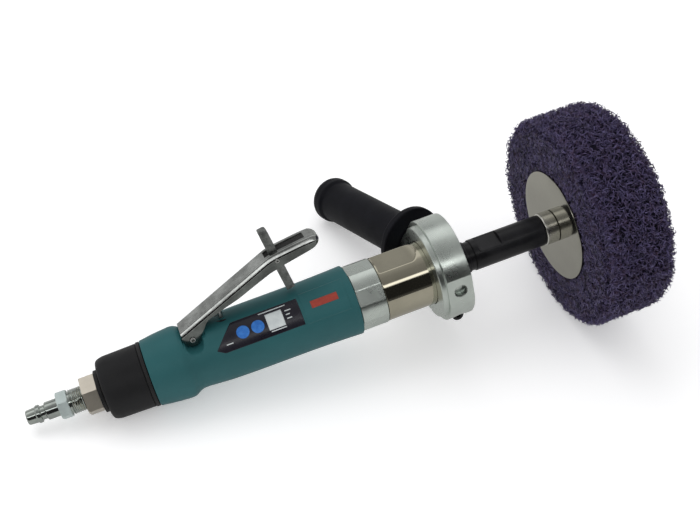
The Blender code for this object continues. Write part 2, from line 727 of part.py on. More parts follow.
# ---------------------------------------------------------------- vane motor
def rotor_outline(slot_bottom, half_slot):
    """A circle with evenly spaced radial slots."""
    points = []
    edge = half_slot / ROTOR_RADIUS
    for index in range(VANES):
        middle = pi / 2 + 2 * pi * index / VANES
        along = Vector((cos(middle), sin(middle)))
        across = Vector((-sin(middle), cos(middle)))
        rim = sqrt(ROTOR_RADIUS ** 2 - half_slot ** 2)
        for reach, offset in ((rim, -half_slot), (slot_bottom, -half_slot),
                              (slot_bottom, half_slot), (rim, half_slot)):
            spot = along * reach + across * offset
            points.append((spot.x, spot.y))
        span = 2 * pi / VANES - 2 * edge
        for step in range(1, 5):
            angle = middle + edge + span * step / 5
            points.append((ROTOR_RADIUS * cos(angle), ROTOR_RADIUS * sin(angle)))
    return points


def build_motor():
    """The slotted rotor with its vanes, the eccentric cylinder, end plates and bearings."""
    slot_bottom = 0.0055
    half_slot = 0.0010
    slotted = [rotor_outline(slot_bottom, half_slot)]
    rotor = plate_x("motor_rotor", slotted, ROTOR_FRONT, ROTOR_REAR, "tool_steel")
    shaft_rear = from_flange(230.0)
    shaft_front = from_flange(139.3)
    shaft = rod_cutter("rotor_shaft", (shaft_rear, 0, 0), (1, 0, 0), shaft_front - shaft_rear, 0.0040, 20)
    boolean(rotor, shaft, "UNION")
    inset = half_slot - GAP
    for index in range(VANES):
        angle = 2 * pi * index / VANES
        low = slot_bottom + GAP
        high = ROTOR_RADIUS - 0.0001
        blade = [(-inset, low), (inset, low), (inset, high), (-inset, high)]
        turned_blade = [
            (x * cos(angle) - y * sin(angle), x * sin(angle) + y * cos(angle)) for x, y in blade
        ]
        plate_x(f"rotor_vane_{index + 1}", [turned_blade], ROTOR_FRONT, ROTOR_REAR, "phenolic")
    wall = 0.0192
    outlines = [circle(wall, 40), circle(CYLINDER_BORE, 40, (0.0, -CYLINDER_OFFSET))]
    cylinder_front = ROTOR_FRONT + GAP
    cylinder_rear = ROTOR_REAR - GAP
    plate_x("motor_cylinder", outlines, cylinder_front, cylinder_rear, "tool_steel")
    for name, near, far, sign in (
        ("front_end_plate", cylinder_front + GAP, from_flange(163.4), 1),
        ("rear_end_plate", cylinder_rear - GAP, from_flange(230.5), -1),
    ):
        seat = far - sign * 0.0055
        profile = [(near, 0.0045), (near, wall), (far, wall), (far, 0.0080), (seat, 0.0080), (seat, 0.0045)]
        if sign > 0:
            profile.reverse()
        turned(name, profile, "tool_steel", INNER_STEPS, closed=True)
        label = name.replace("end_plate", "rotor_bearing")
        start = seat + sign * GAP
        stop = far - sign * GAP
        ring(label, max(start, stop), min(start, stop), 0.0043, 0.0077, "stainless")


# ---------------------------------------------------------------- lever, lock and valve
def lever_outline():
    """The lever's side outline in the XZ plane, from its rear end over the top."""
    def at(back, height):
        return (from_flange(back), height / 1000)

    pivot_x, pivot_z = LEVER_PIVOT
    top = [at(268.4, 25.5), at(204.8, 54.8), at(201.0, 56.5), at(197.0, 57.7), at(190.0, 58.8)]
    top += [at(176.0, 60.7), at(168.5, 61.2), at(164.5, 60.4), at(162.3, 58.0)]
    under = [at(165.8, 57.9), at(174.0, 56.6), at(182.0, 54.0), at(191.5, 50.5)]
    under += [at(202.0, 46.5), at(213.0, 42.0), at(226.0, 36.5), at(241.0, 31.8)]
    under += [at(248.5, 29.2), at(252.8, 24.0)]
    cheek = arc((pivot_x, pivot_z), 0.0047, 0, -180, 9)
    return top + under + cheek + [at(267.9, 20.6)]


def hollow_outline():
    """The lever's hollow, one sheet below its top and open underneath."""
    def at(back, height):
        return (from_flange(back), height / 1000)

    top = [at(280.0, 18.5), at(204.9, 53.1), at(200.6, 55.0), at(196.7, 56.1), at(189.8, 57.2)]
    top += [at(176.0, 59.1), at(168.6, 59.6), at(166.0, 59.0)]
    return top + [at(165.0, 45.0), at(200.0, 10.0), at(280.0, 5.0)]


def build_lever():
    """The pressed throttle lever with its pivot pin, lock pin and lock spring."""
    lever = plate_y("throttle_lever", [lever_outline()], LEVER_WIDTH, "chrome")
    hollow = bpy.data.objects.new(
        "lever_hollow", flat_outline("hollow", [hollow_outline()], LEVER_WIDTH - 2 * LEVER_SHEET)
    )
    CUTTERS.objects.link(hollow)
    hollow.rotation_euler = ALONG_Y
    boolean(lever, hide_as_cutter(hollow))
    slot_low = (from_flange(201.6), -0.0034, 0.052)
    slot_high = (from_flange(174.0), 0.0034, 0.065)
    boolean(lever, box_cutter("lever_slot", slot_low, slot_high))
    pivot_x, pivot_z = LEVER_PIVOT
    lock_x, lock_z = LOCK_PIVOT
    for x, z, radius in ((pivot_x, pivot_z, LEVER_PIN_RADIUS), (lock_x, lock_z, LOCK_PIN_RADIUS)):
        boolean(lever, rod_cutter("lever_hole", (x, -0.02, z), (0, 1, 0), 0.04, radius + GAP, 16))
    roll_pin("lever_pivot_pin", (pivot_x, pivot_z), LEVER_PIN_RADIUS, 0.0184)
    roll_pin("lock_pin", (lock_x, lock_z), LOCK_PIN_RADIUS, 0.0176)
    coil("lock_spring", (lock_x, 0.0050, lock_z), (0, 1, 0), 0.0023, 0.00035, 0.0024, 2.5, 8)


def roll_pin(name, place, radius, length):
    """A hollow spring pin across the tool."""
    x, z = place
    pin = part(name, flat_outline(name, [circle(radius, 16), circle(radius * 0.5, 12)], length), "tool_steel")
    pin.rotation_euler = ALONG_Y
    pin.location = (x, 0, z)
    smooth(pin)


def coil(name, centre, axis, radius, wire, height, turns, per_turn):
    """A helical wire spring centred on a point, as a swept curve made a mesh."""
    curve = bpy.data.curves.new(name, "CURVE")
    curve.dimensions = "3D"
    curve.bevel_depth = wire
    curve.bevel_resolution = 1
    curve.use_fill_caps = True
    spline = curve.splines.new("POLY")
    count = int(turns * per_turn) + 1
    spline.points.add(count - 1)
    for index, point in enumerate(spline.points):
        angle = 2 * pi * index / per_turn
        rise = height * (index / (count - 1) - 0.5)
        point.co = (radius * cos(angle), radius * sin(angle), rise, 1.0)
    obj = bpy.data.objects.new(name, curve)
    PARTS.objects.link(obj)
    curve.materials.append(finish("tool_steel"))
    aim(obj, centre, axis)
    return obj


def build_lock():
    """The safety lock lever: a straight strip with a rounded foot and a ridged tab."""
    lock_x, lock_z = LOCK_PIVOT
    half = 0.0031
    foot = [(LOCK_FOOT * sin(a), -LOCK_FOOT * cos(a)) for a in (radians(s) for s in (-6.4, -2.2, 2.2, 6.4))]
    tab = [(half, LOCK_TAB - 0.0020), (half - 0.0012, LOCK_TAB), (-half + 0.0002, LOCK_TAB)]
    ridges = []
    for step in range(3):
        level = LOCK_TAB - 0.0010 - 0.0016 * step
        ridges += [
            (-half + 0.0002, level),
            (-half + 0.0008, level - 0.0004),
            (-half + 0.0002, level - 0.0008),
        ]
    local = foot + tab + ridges + [(-half, LOCK_TAB - 0.0062)]
    c, s = cos(LOCK_LEAN), sin(LOCK_LEAN)
    outline = [(x * c - z * s, x * s + z * c) for x, z in local]
    lock = plate_y("lock_lever", [outline], LOCK_THICK, "black_oxide")
    lock.location = (lock_x, 0, lock_z)
    hole_radius = LOCK_PIN_RADIUS + GAP
    boolean(lock, rod_cutter("lock_hole", (lock_x, -0.02, lock_z), (0, 1, 0), 0.04, hole_radius, 16))


def upright(name, profile, look, steps=16, closed=False):
    """A turned piece on the valve's vertical axis: profile is (height, radius)."""
    obj = turned(name, profile, look, steps, closed)
    obj.rotation_euler = (0, 0, 0)
    obj.location = (VALVE_X, 0, 0)
    return obj


def build_valve():
    """The throttle valve: a stem under the lever, its guide, seat, seal and spring."""
    stem = [
        (STEM_TOP, 0.0),
        (STEM_TOP, STEM_RADIUS - 0.0006),
        (STEM_TOP - 0.0005, STEM_RADIUS),
        (-0.0079, STEM_RADIUS),
        (-0.0079, 0.0034),
        (-0.0100, 0.0034),
        (-0.0100, 0.0),
    ]
    upright("valve_stem", stem, "tool_steel")
    guide = [(0.0226, 0.0021), (0.0226, 0.0050), (0.0143, 0.0050), (0.0143, 0.0021)]
    upright("valve_guide", guide, "tool_steel", 20, closed=True)
    seat = [(-0.0054, 0.0024), (-0.0054, 0.0042), (-0.0075, 0.0042), (-0.0075, 0.0024)]
    upright("valve_seat", seat, "brass", 20, closed=True)
    coil("valve_spring", (VALVE_X, 0, -0.0142), (0, 0, 1), 0.0026, 0.0003, 0.0070, 4, 8)


def main():
    """Build every sub-part."""
    build_wheel()
    build_spindle()
    build_gears()
    build_gear_case()
    build_handle_ring()
    build_side_handle()
    build_body()
    build_exhaust()
    build_inlet()
    build_motor()
    build_lever()
    build_lock()
    build_valve()


main()
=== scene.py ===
"""Finished surfaces, materials, floor, lights and camera for an air die grinder.

The tool lies along X with its wheel at +X, its throttle lever on +Z and its side handle
towards +Y. Profiles are written in millimetres: a station is the distance behind the rear
face of the wheel's rear flange, and a radius is the distance from the turning axis.
"""

import bmesh
import bpy
import numpy as np
from bpy.props import FloatProperty, FloatVectorProperty, PointerProperty
from mathutils import Matrix, Vector


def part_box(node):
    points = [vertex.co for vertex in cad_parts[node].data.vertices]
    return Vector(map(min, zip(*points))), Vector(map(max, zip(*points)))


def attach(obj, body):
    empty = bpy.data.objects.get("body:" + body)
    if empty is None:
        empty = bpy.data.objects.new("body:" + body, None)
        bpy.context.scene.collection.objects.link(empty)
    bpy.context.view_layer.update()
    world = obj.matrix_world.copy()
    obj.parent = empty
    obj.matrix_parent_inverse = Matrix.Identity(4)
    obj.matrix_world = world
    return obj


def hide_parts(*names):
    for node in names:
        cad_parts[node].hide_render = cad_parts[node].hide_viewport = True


bl_info = {
    "name": "Air Die Grinder Surfaces",
    "version": (1, 0, 0),
    "blender": (4, 5, 0),
    "location": "View3D > Sidebar > Die Grinder",
    "description": "Builds the finished surfaces and materials of an air die grinder",
    "category": "Add Mesh",
}

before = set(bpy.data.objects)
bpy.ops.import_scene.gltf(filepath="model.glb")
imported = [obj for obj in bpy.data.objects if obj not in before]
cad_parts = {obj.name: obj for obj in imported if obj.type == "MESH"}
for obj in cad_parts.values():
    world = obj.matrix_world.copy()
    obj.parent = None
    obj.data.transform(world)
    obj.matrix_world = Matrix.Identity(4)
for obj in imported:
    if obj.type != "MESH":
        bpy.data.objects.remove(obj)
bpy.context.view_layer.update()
FLANGE_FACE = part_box("rear_flange")[0][0]
WHEEL_LOW, WHEEL_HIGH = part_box("grinding_wheel")
NEAR_SIDE = 1.5 * np.pi
PIVOT_MM = (262.0, 18.8)
LOCK_MM = (195.4, 53.7)
VALVE_STATION = 240.0
LEVER_HALF_WIDTH = 8.2
LEVER_SLOT_HALF = 3.5
LEVER_SHEET = 0.0013
RING_STATION = 86.5
HANDLE_STATION = 77.9
HANDLE_LEAN = np.radians(17.0)
INLET_TURN = NEAR_SIDE + np.radians(44.0)
FILM_THICKNESS = 0.00022
FLOOR_UP = Vector((0.16995, -0.26335, 0.94961))
FLOOR_DROP = -0.08690
FLOOR_RADIUS = 3.0
STAGE_CENTRE = (-0.20, 0.0, 0.0)
CAMERA_PLACE = (-0.3307, -0.5545, 0.3912)
CAMERA_FORWARD = (0.172, 0.824, -0.539)
CAMERA_RIGHT = (0.927, -0.321, -0.195)
CAMERA_LENS = 52.05
FINISHES = {}


# ------------------------------------------------------------------ surfaces
def rounded(corners, closed):
    """A profile with its corners rounded: each (along, across, fillet) corner becomes an arc.

    A fillet arc starts and ends one tangent length before and after its corner, and its
    points are the corner's quadratic blend (1-t)^2 A + 2t(1-t) C + t^2 B.
    """
    data = np.array(corners, dtype=float)
    spots = data[:, :2]
    before = np.roll(spots, 1, axis=0)
    after = np.roll(spots, -1, axis=0)
    blend = np.linspace(0.0, 1.0, 6)[:, None]
    pieces = []
    for index, (spot, first, last, fillet) in enumerate(zip(spots, before, after, data[:, 2])):
        at_end = not closed and index in (0, len(spots) - 1)
        if fillet <= 0 or at_end:
            pieces.append(spot[None, :])
            continue
        to_first = first - spot
        to_last = last - spot
        reach_first = min(fillet, np.linalg.norm(to_first) * 0.49)
        reach_last = min(fillet, np.linalg.norm(to_last) * 0.49)
        start = spot + to_first / np.linalg.norm(to_first) * reach_first
        stop = spot + to_last / np.linalg.norm(to_last) * reach_last
        arc = (1 - blend) ** 2 * start + 2 * blend * (1 - blend) * spot + blend ** 2 * stop
        pieces.append(arc)
    return np.vstack(pieces)


def refined(profile, step, closed):
    """A profile with every straight run split into equal lengths no longer than a step."""
    ends = np.roll(profile, -1, axis=0) if closed else profile[1:]
    starts = profile if closed else profile[:-1]
    runs = []
    for start, stop in zip(starts, ends):
        count = max(1, int(np.ceil(np.linalg.norm(stop - start) / step)))
        share = np.arange(count)[:, None] / count
        runs.append(start + (stop - start) * share)
    if not closed:
        runs.append(profile[-1:])
    return np.vstack(runs)


def smooth_curve(points, count):
    """A Catmull-Rom curve through points, evaluated evenly in its parameter."""
    knots = np.array(points, dtype=float)
    padded = np.vstack((2 * knots[0] - knots[1], knots, 2 * knots[-1] - knots[-2]))
    place = np.linspace(0, len(knots) - 1 - 1e-9, count)
    index = place.astype(int)
    t = (place - index)[:, None]
    a, b, c, d = (padded[index + shift] for shift in range(4))
    return 0.5 * (2 * b + (c - a) * t + (2 * a - 5 * b + 4 * c - d) * t ** 2
                  + (3 * b - a - 3 * c + d) * t ** 3)


def grid_faces(rows, columns, wrap_rows, wrap_columns):
    """Quad corner indices of a grid of points, joined at its ends where it wraps."""
    row = np.arange(rows if wrap_rows else rows - 1)[:, None]
    column = np.arange(columns if wrap_columns else columns - 1)[None, :]
    next_row = (row + 1) % rows
    next_column = (column + 1) % columns
    corners = (
        row * columns + column,
        row * columns + next_column,
        next_row * columns + next_column,
        next_row * columns + column,
    )
    return np.stack([np.broadcast_to(c, (row.size, column.size)).ravel() for c in corners], axis=1)


def mesh_piece(name, points, faces, finish, sharp=32.0, weld=True):
    """An object at the origin made from points in metres and equal-sized faces."""
    points = np.asarray(points, dtype=np.float32).reshape(-1, 3)
    faces = np.asarray(faces, dtype=np.int32)
    mesh = bpy.data.meshes.new(name)
    mesh.vertices.add(len(points))
    mesh.vertices.foreach_set("co", points.ravel())
    mesh.loops.add(faces.size)
    mesh.loops.foreach_set("vertex_index", faces.ravel())
    mesh.polygons.add(len(faces))
    mesh.polygons.foreach_set("loop_start", np.arange(0, faces.size, faces.shape[1]))
    mesh.update(calc_edges=True)
    mesh.validate()
    if weld:
        shell = bmesh.new()
        shell.from_mesh(mesh)
        bmesh.ops.remove_doubles(shell, verts=shell.verts, dist=2e-6)
        bmesh.ops.dissolve_degenerate(shell, edges=shell.edges, dist=1e-6)
        bmesh.ops.recalc_face_normals(shell, faces=shell.faces)
        shell.to_mesh(mesh)
        shell.free()
    mesh.shade_smooth()
    mesh.set_sharp_from_angle(angle=np.radians(sharp))
    mesh.materials.append(finish)
    piece = bpy.data.objects.new(name, mesh)
    bpy.context.scene.collection.objects.link(piece)
    return piece


def around(count):
    """Even angles round the X axis, from +Z towards +Y."""
    return np.linspace(0.0, 2 * np.pi, count, endpoint=False)


def placed(station, radius, turn):
    """Points in metres: x = flange face - station, y = radius * sin(turn), z = radius * cos(turn)."""
    return np.stack((
        FLANGE_FACE - station / 1000,
        radius * np.sin(turn) / 1000,
        radius * np.cos(turn) / 1000,
    ), axis=-1)


def turned(name, corners, finish, steps=160, closed=True, spacing=4.0, shape=None,
           angles=None, curve=None, sharp=32.0, place=None):
    """A surface of revolution about X: each profile point (station, radius) goes round a circle.

    shape(station, angle, radius) may cut the radius back, for flats, threads and pockets.
    place is a matrix that carries the finished points to another axis.
    """
    profile = rounded(corners, closed) if curve is None else curve
    profile = refined(profile, spacing, closed)
    angle = around(steps) if angles is None else angles
    station = np.repeat(profile[:, :1], len(angle), axis=1)
    radius = np.repeat(profile[:, 1:2], len(angle), axis=1)
    turn = np.repeat(angle[None, :], len(profile), axis=0)
    if shape is not None:
        radius = shape(station, turn, radius)
    points = placed(station, radius, turn)
    if place is not None:
        local = points.reshape(-1, 3) - np.array((FLANGE_FACE, 0.0, 0.0))
        points = local @ np.array(place.to_3x3()).T + np.array(place.translation)
    faces = grid_faces(len(profile), len(angle), closed, True)
    return mesh_piece(name, points, faces, finish, sharp)


def soft_min(first, second, blend):
    """The smaller of two values, with a rounded change-over of the given width."""
    share = np.clip(0.5 + 0.5 * (second - first) / blend, 0.0, 1.0)
    return second * (1 - share) + first * share - blend * share * (1 - share)


def step_up(value, low, high):
    """A smooth ramp from 0 to 1 between two values."""
    t = np.clip((value - low) / (high - low), 0.0, 1.0)
    return t * t * (3 - 2 * t)


def plane_cut(radius, turn, direction, distance, blend=0.15):
    """A radius cut back to a plane that stands at a distance along a direction."""
    lean = np.cos(turn - direction)
    reach = np.where(lean > 0.2, distance / np.maximum(lean, 0.2), 1e3)
    return soft_min(radius, reach, blend)


def hexagon_cut(radius, turn, distance, phase):
    """A radius cut back to six planes round the axis."""
    lean = np.abs((turn - phase + np.pi / 6) % (np.pi / 3) - np.pi / 6)
    return np.minimum(radius, distance / np.cos(lean))


def even_noise(rows, columns, passes, seed):
    """Smooth noise between -1 and 1 on a grid that wraps: random values averaged with neighbours."""
    noise = np.random.default_rng(seed).normal(size=(rows, columns))
    for _ in range(passes):
        for axis in (0, 1):
            noise = (np.roll(noise, 1, axis) + 2 * noise + np.roll(noise, -1, axis)) / 4
    return noise / np.abs(noise).max()


def prism(name, outline, thickness, finish, bevel, segments=3):
    """An outline in the XZ plane swept straight across Y, with its edges rounded by a Bevel.

    The outline stands once at y = -thickness / 2 and once at y = +thickness / 2; each copy is
    a cap, and every outline edge is joined to its twin by one wall face.
    """
    flat = np.array(outline, dtype=float)
    count = len(flat)
    y_mm = np.repeat((-thickness / 2, thickness / 2), count)
    flat = np.tile(flat, (2, 1))
    points = np.stack((FLANGE_FACE - flat[:, 0] / 1000, y_mm / 1000, flat[:, 1] / 1000), axis=1)
    ring = np.arange(count)
    after = np.roll(ring, -1)
    walls = np.stack((ring, after, after + count, ring + count), axis=1)
    caps = [ring.tolist(), (ring[::-1] + count).tolist()]
    mesh = bpy.data.meshes.new(name)
    mesh.from_pydata(points, [], caps + walls.tolist())
    shell = bmesh.new()
    shell.from_mesh(mesh)
    bmesh.ops.recalc_face_normals(shell, faces=shell.faces)
    shell.to_mesh(mesh)
    shell.free()
    mesh.materials.append(finish)
    piece = bpy.data.objects.new(name, mesh)
    bpy.context.scene.collection.objects.link(piece)
    soften(piece, bevel, segments)
    mesh.shade_smooth()
    return piece


def soften(piece, width, segments=2, angle=30.0):
    """Round a piece's sharp edges and keep its flats flat."""
    bevel = piece.modifiers.new("Softened edges", "BEVEL")
    bevel.width = width / 1000
    bevel.segments = segments
    bevel.limit_method = "ANGLE"
    bevel.angle_limit = np.radians(angle)
    bevel.harden_normals = True
    return piece


def across(x_mm, z_mm):
    """A matrix that stands a turned piece on the Y axis at a point, its stations towards -Y."""
    turn = Matrix(((0, 1, 0), (1, 0, 0), (0, 0, -1))).to_4x4()
    return Matrix.Translation((FLANGE_FACE - x_mm / 1000, 0, z_mm / 1000)) @ turn


def own(piece, body, slot, *nodes):
    """Say which body a piece rides on and hide the CAD nodes it stands for; its material slot is not
    used.
    """
    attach(piece, body)
    if nodes:
        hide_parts(*nodes)
    return piece


# ------------------------------------------------------------------ shader groups
def new_group(name, inputs, outputs):
    """An empty shader node group with its sockets, and its input and output nodes."""
    tree = bpy.data.node_groups.new(name, "ShaderNodeTree")
    for label, kind, default in inputs:
        socket = tree.interface.new_socket(label, in_out="INPUT", socket_type=kind)
        socket.default_value = default
    for label, kind in outputs:
        tree.interface.new_socket(label, in_out="OUTPUT", socket_type=kind)
    return tree, tree.nodes.new("NodeGroupInput"), tree.nodes.new("NodeGroupOutput")


def add(tree, kind, values=None, **settings):
    """A node with its settings, and its input values given by name or number."""
    made = tree.nodes.new(kind)
    for key, value in settings.items():
        setattr(made, key, value)
    for key, value in (values or {}).items():
        made.inputs[key].default_value = value
    return made


def join(tree, start, end):
    """A link between two sockets."""
    tree.links.new(start, end)


FLOAT = "NodeSocketFloat"
COLOUR = "NodeSocketColor"
VECTOR = "NodeSocketVector"


def patchy_colour_group():
    """Colour that wanders between two tints with soft patches and fine specks."""
    tree, start, end = new_group(
        "Patchy colour",
        [("Vector", VECTOR, (0, 0, 0)), ("Base", COLOUR, (0.5, 0.5, 0.5, 1)),
         ("Tint", COLOUR, (0.4, 0.4, 0.4, 1)), ("Patch scale", FLOAT, 40.0),
         ("Speck scale", FLOAT, 900.0), ("Speck amount", FLOAT, 0.2)],
        [("Colour", COLOUR)],
    )
    patches = add(tree, "ShaderNodeTexNoise", {"Detail": 5.0, "Roughness": 0.6})
    specks = add(tree, "ShaderNodeTexNoise", {"Detail": 2.0, "Roughness": 0.5})
    spread = add(tree, "ShaderNodeMapRange", {"From Min": 0.35, "From Max": 0.65})
    dots = add(tree, "ShaderNodeMapRange", {"From Min": 0.56, "From Max": 0.70})
    dotted = add(tree, "ShaderNodeMath", operation="MULTIPLY")
    total = add(tree, "ShaderNodeMath", operation="ADD", use_clamp=True)
    mix = add(tree, "ShaderNodeMix", data_type="RGBA")
    join(tree, start.outputs["Vector"], patches.inputs["Vector"])
    join(tree, start.outputs["Vector"], specks.inputs["Vector"])
    join(tree, start.outputs["Patch scale"], patches.inputs["Scale"])
    join(tree, start.outputs["Speck scale"], specks.inputs["Scale"])
    join(tree, patches.outputs["Fac"], spread.inputs["Value"])
    join(tree, specks.outputs["Fac"], dots.inputs["Value"])
    join(tree, dots.outputs["Result"], dotted.inputs[0])
    join(tree, start.outputs["Speck amount"], dotted.inputs[1])
    join(tree, spread.outputs["Result"], total.inputs[0])
    join(tree, dotted.outputs["Value"], total.inputs[1])
    join(tree, total.outputs["Value"], mix.inputs["Factor"])
    join(tree, start.outputs["Base"], mix.inputs["A"])
    join(tree, start.outputs["Tint"], mix.inputs["B"])
    join(tree, mix.outputs["Result"], end.inputs["Colour"])
    return tree


def turned_lines_group():
    """Fine lathe marks: noise over the distance along X and the distance from the X axis."""
    tree, start, end = new_group(
        "Turned lines",
        [("Vector", VECTOR, (0, 0, 0)), ("Line scale", FLOAT, 2500.0)],
        [("Lines", FLOAT)],
    )
    parts = add(tree, "ShaderNodeSeparateXYZ")
    square_y = add(tree, "ShaderNodeMath", operation="MULTIPLY")
    square_z = add(tree, "ShaderNodeMath", operation="MULTIPLY")
    total = add(tree, "ShaderNodeMath", operation="ADD")
    root = add(tree, "ShaderNodeMath", operation="SQRT")
    place = add(tree, "ShaderNodeCombineXYZ")
    noise = add(tree, "ShaderNodeTexNoise", {"Detail": 3.0, "Roughness": 0.7}, noise_dimensions="2D")
    join(tree, start.outputs["Vector"], parts.inputs[0])
    join(tree, parts.outputs["Y"], square_y.inputs[0])
    join(tree, parts.outputs["Y"], square_y.inputs[1])
    join(tree, parts.outputs["Z"], square_z.inputs[0])
    join(tree, parts.outputs["Z"], square_z.inputs[1])
    join(tree, square_y.outputs[0], total.inputs[0])
    join(tree, square_z.outputs[0], total.inputs[1])
    join(tree, total.outputs[0], root.inputs[0])
    join(tree, parts.outputs["X"], place.inputs["X"])
    join(tree, root.outputs[0], place.inputs["Y"])
    join(tree, place.outputs[0], noise.inputs["Vector"])
    join(tree, start.outputs["Line scale"], noise.inputs["Scale"])
    join(tree, noise.outputs["Fac"], end.inputs["Lines"])
    return tree


def wear_range_group():
    """A value such as roughness that drifts between two limits with handling marks."""
    tree, start, end = new_group(
        "Handling marks",
        [("Vector", VECTOR, (0, 0, 0)), ("Scale", FLOAT, 60.0), ("Low", FLOAT, 0.3),
         ("High", FLOAT, 0.5)],
        [("Value", FLOAT)],
    )
    smears = add(tree, "ShaderNodeTexNoise", {"Detail": 6.0, "Roughness": 0.65, "Distortion": 0.6})
    spread = add(tree, "ShaderNodeMapRange", {"From Min": 0.3, "From Max": 0.7})
    join(tree, start.outputs["Vector"], smears.inputs["Vector"])
    join(tree, start.outputs["Scale"], smears.inputs["Scale"])
    join(tree, smears.outputs["Fac"], spread.inputs["Value"])
    join(tree, start.outputs["Low"], spread.inputs["To Min"])
    join(tree, start.outputs["High"], spread.inputs["To Max"])
    join(tree, spread.outputs["Result"], end.inputs["Value"])
    return tree


def surface_grain_group():
    """Moulded or cast skin: a height made of cells and noise."""
    tree, start, end = new_group(
        "Surface grain",
        [("Vector", VECTOR, (0, 0, 0)), ("Grain scale", FLOAT, 1500.0), ("Cell share", FLOAT, 0.4)],
        [("Height", FLOAT)],
    )
    noise = add(tree, "ShaderNodeTexNoise", {"Detail": 3.0, "Roughness": 0.6})
    cells = add(tree, "ShaderNodeTexVoronoi")
    mix = add(tree, "ShaderNodeMix", data_type="FLOAT")
    join(tree, start.outputs["Vector"], noise.inputs["Vector"])
    join(tree, start.outputs["Vector"], cells.inputs["Vector"])
    join(tree, start.outputs["Grain scale"], noise.inputs["Scale"])
    join(tree, start.outputs["Grain scale"], cells.inputs["Scale"])
    join(tree, start.outputs["Cell share"], mix.inputs["Factor"])
    join(tree, noise.outputs["Fac"], mix.inputs["A"])
    join(tree, cells.outputs["Distance"], mix.inputs["B"])
    join(tree, mix.outputs["Result"], end.inputs["Height"])
    return tree


# ------------------------------------------------------------------ finishes
def shared(tree, group, place, **values):
    """A group node in a material, fed with the place on the piece."""
    made = tree.nodes.new("ShaderNodeGroup")
    made.node_tree = bpy.data.node_groups[group]
    join(tree, place, made.inputs["Vector"])
    for label, value in values.items():
        made.inputs[label.replace("_", " ")].default_value = value
    return made


def surface(name, base, tint, roughness, metallic, patch=40.0, speck=900.0, specks=0.2,
            lines=0.0, grain=0.0, grain_scale=1500.0, cells=0.4, bump=0.1, depth=0.00005,
            specular=0.25, anisotropic=0.0, accent=None):
    """A Principled material of wandering colour and roughness, with lathe marks or grain as bump."""
    material = bpy.data.materials.new(f"{name}_finish")
    FINISHES[name] = material
    material.use_nodes = True
    tree = material.node_tree
    shader = tree.nodes["Principled BSDF"]
    place = add(tree, "ShaderNodeTexCoord").outputs["Object"]
    colour = shared(
        tree, "Patchy colour", place, Base=(*base, 1), Tint=(*tint, 1),
        Patch_scale=patch, Speck_scale=speck, Speck_amount=specks,
    )
    if accent is not None:
        under = shared(
            tree, "Patchy colour", place, Base=(*base, 1), Tint=(*accent, 1),
            Patch_scale=patch * 0.35, Speck_scale=speck * 0.6, Speck_amount=0.6,
        )
        join(tree, under.outputs["Colour"], colour.inputs["Base"])
    wear = shared(tree, "Handling marks", place, Low=roughness[0], High=roughness[1])
    join(tree, colour.outputs["Colour"], shader.inputs["Base Color"])
    join(tree, wear.outputs["Value"], shader.inputs["Roughness"])
    shader.inputs["Metallic"].default_value = metallic
    shader.inputs["Specular IOR Level"].default_value = specular
    shader.inputs["Anisotropic"].default_value = anisotropic
    relief = None
    if lines > 0:
        relief = shared(tree, "Turned lines", place, Line_scale=lines).outputs["Lines"]
    if grain > 0:
        relief = shared(
            tree, "Surface grain", place, Grain_scale=grain_scale, Cell_share=cells
        ).outputs["Height"]
    if relief is not None:
        bumped = add(tree, "ShaderNodeBump", {"Strength": bump, "Distance": depth})
        join(tree, relief, bumped.inputs["Height"])
        join(tree, bumped.outputs["Normal"], shader.inputs["Normal"])
    return material


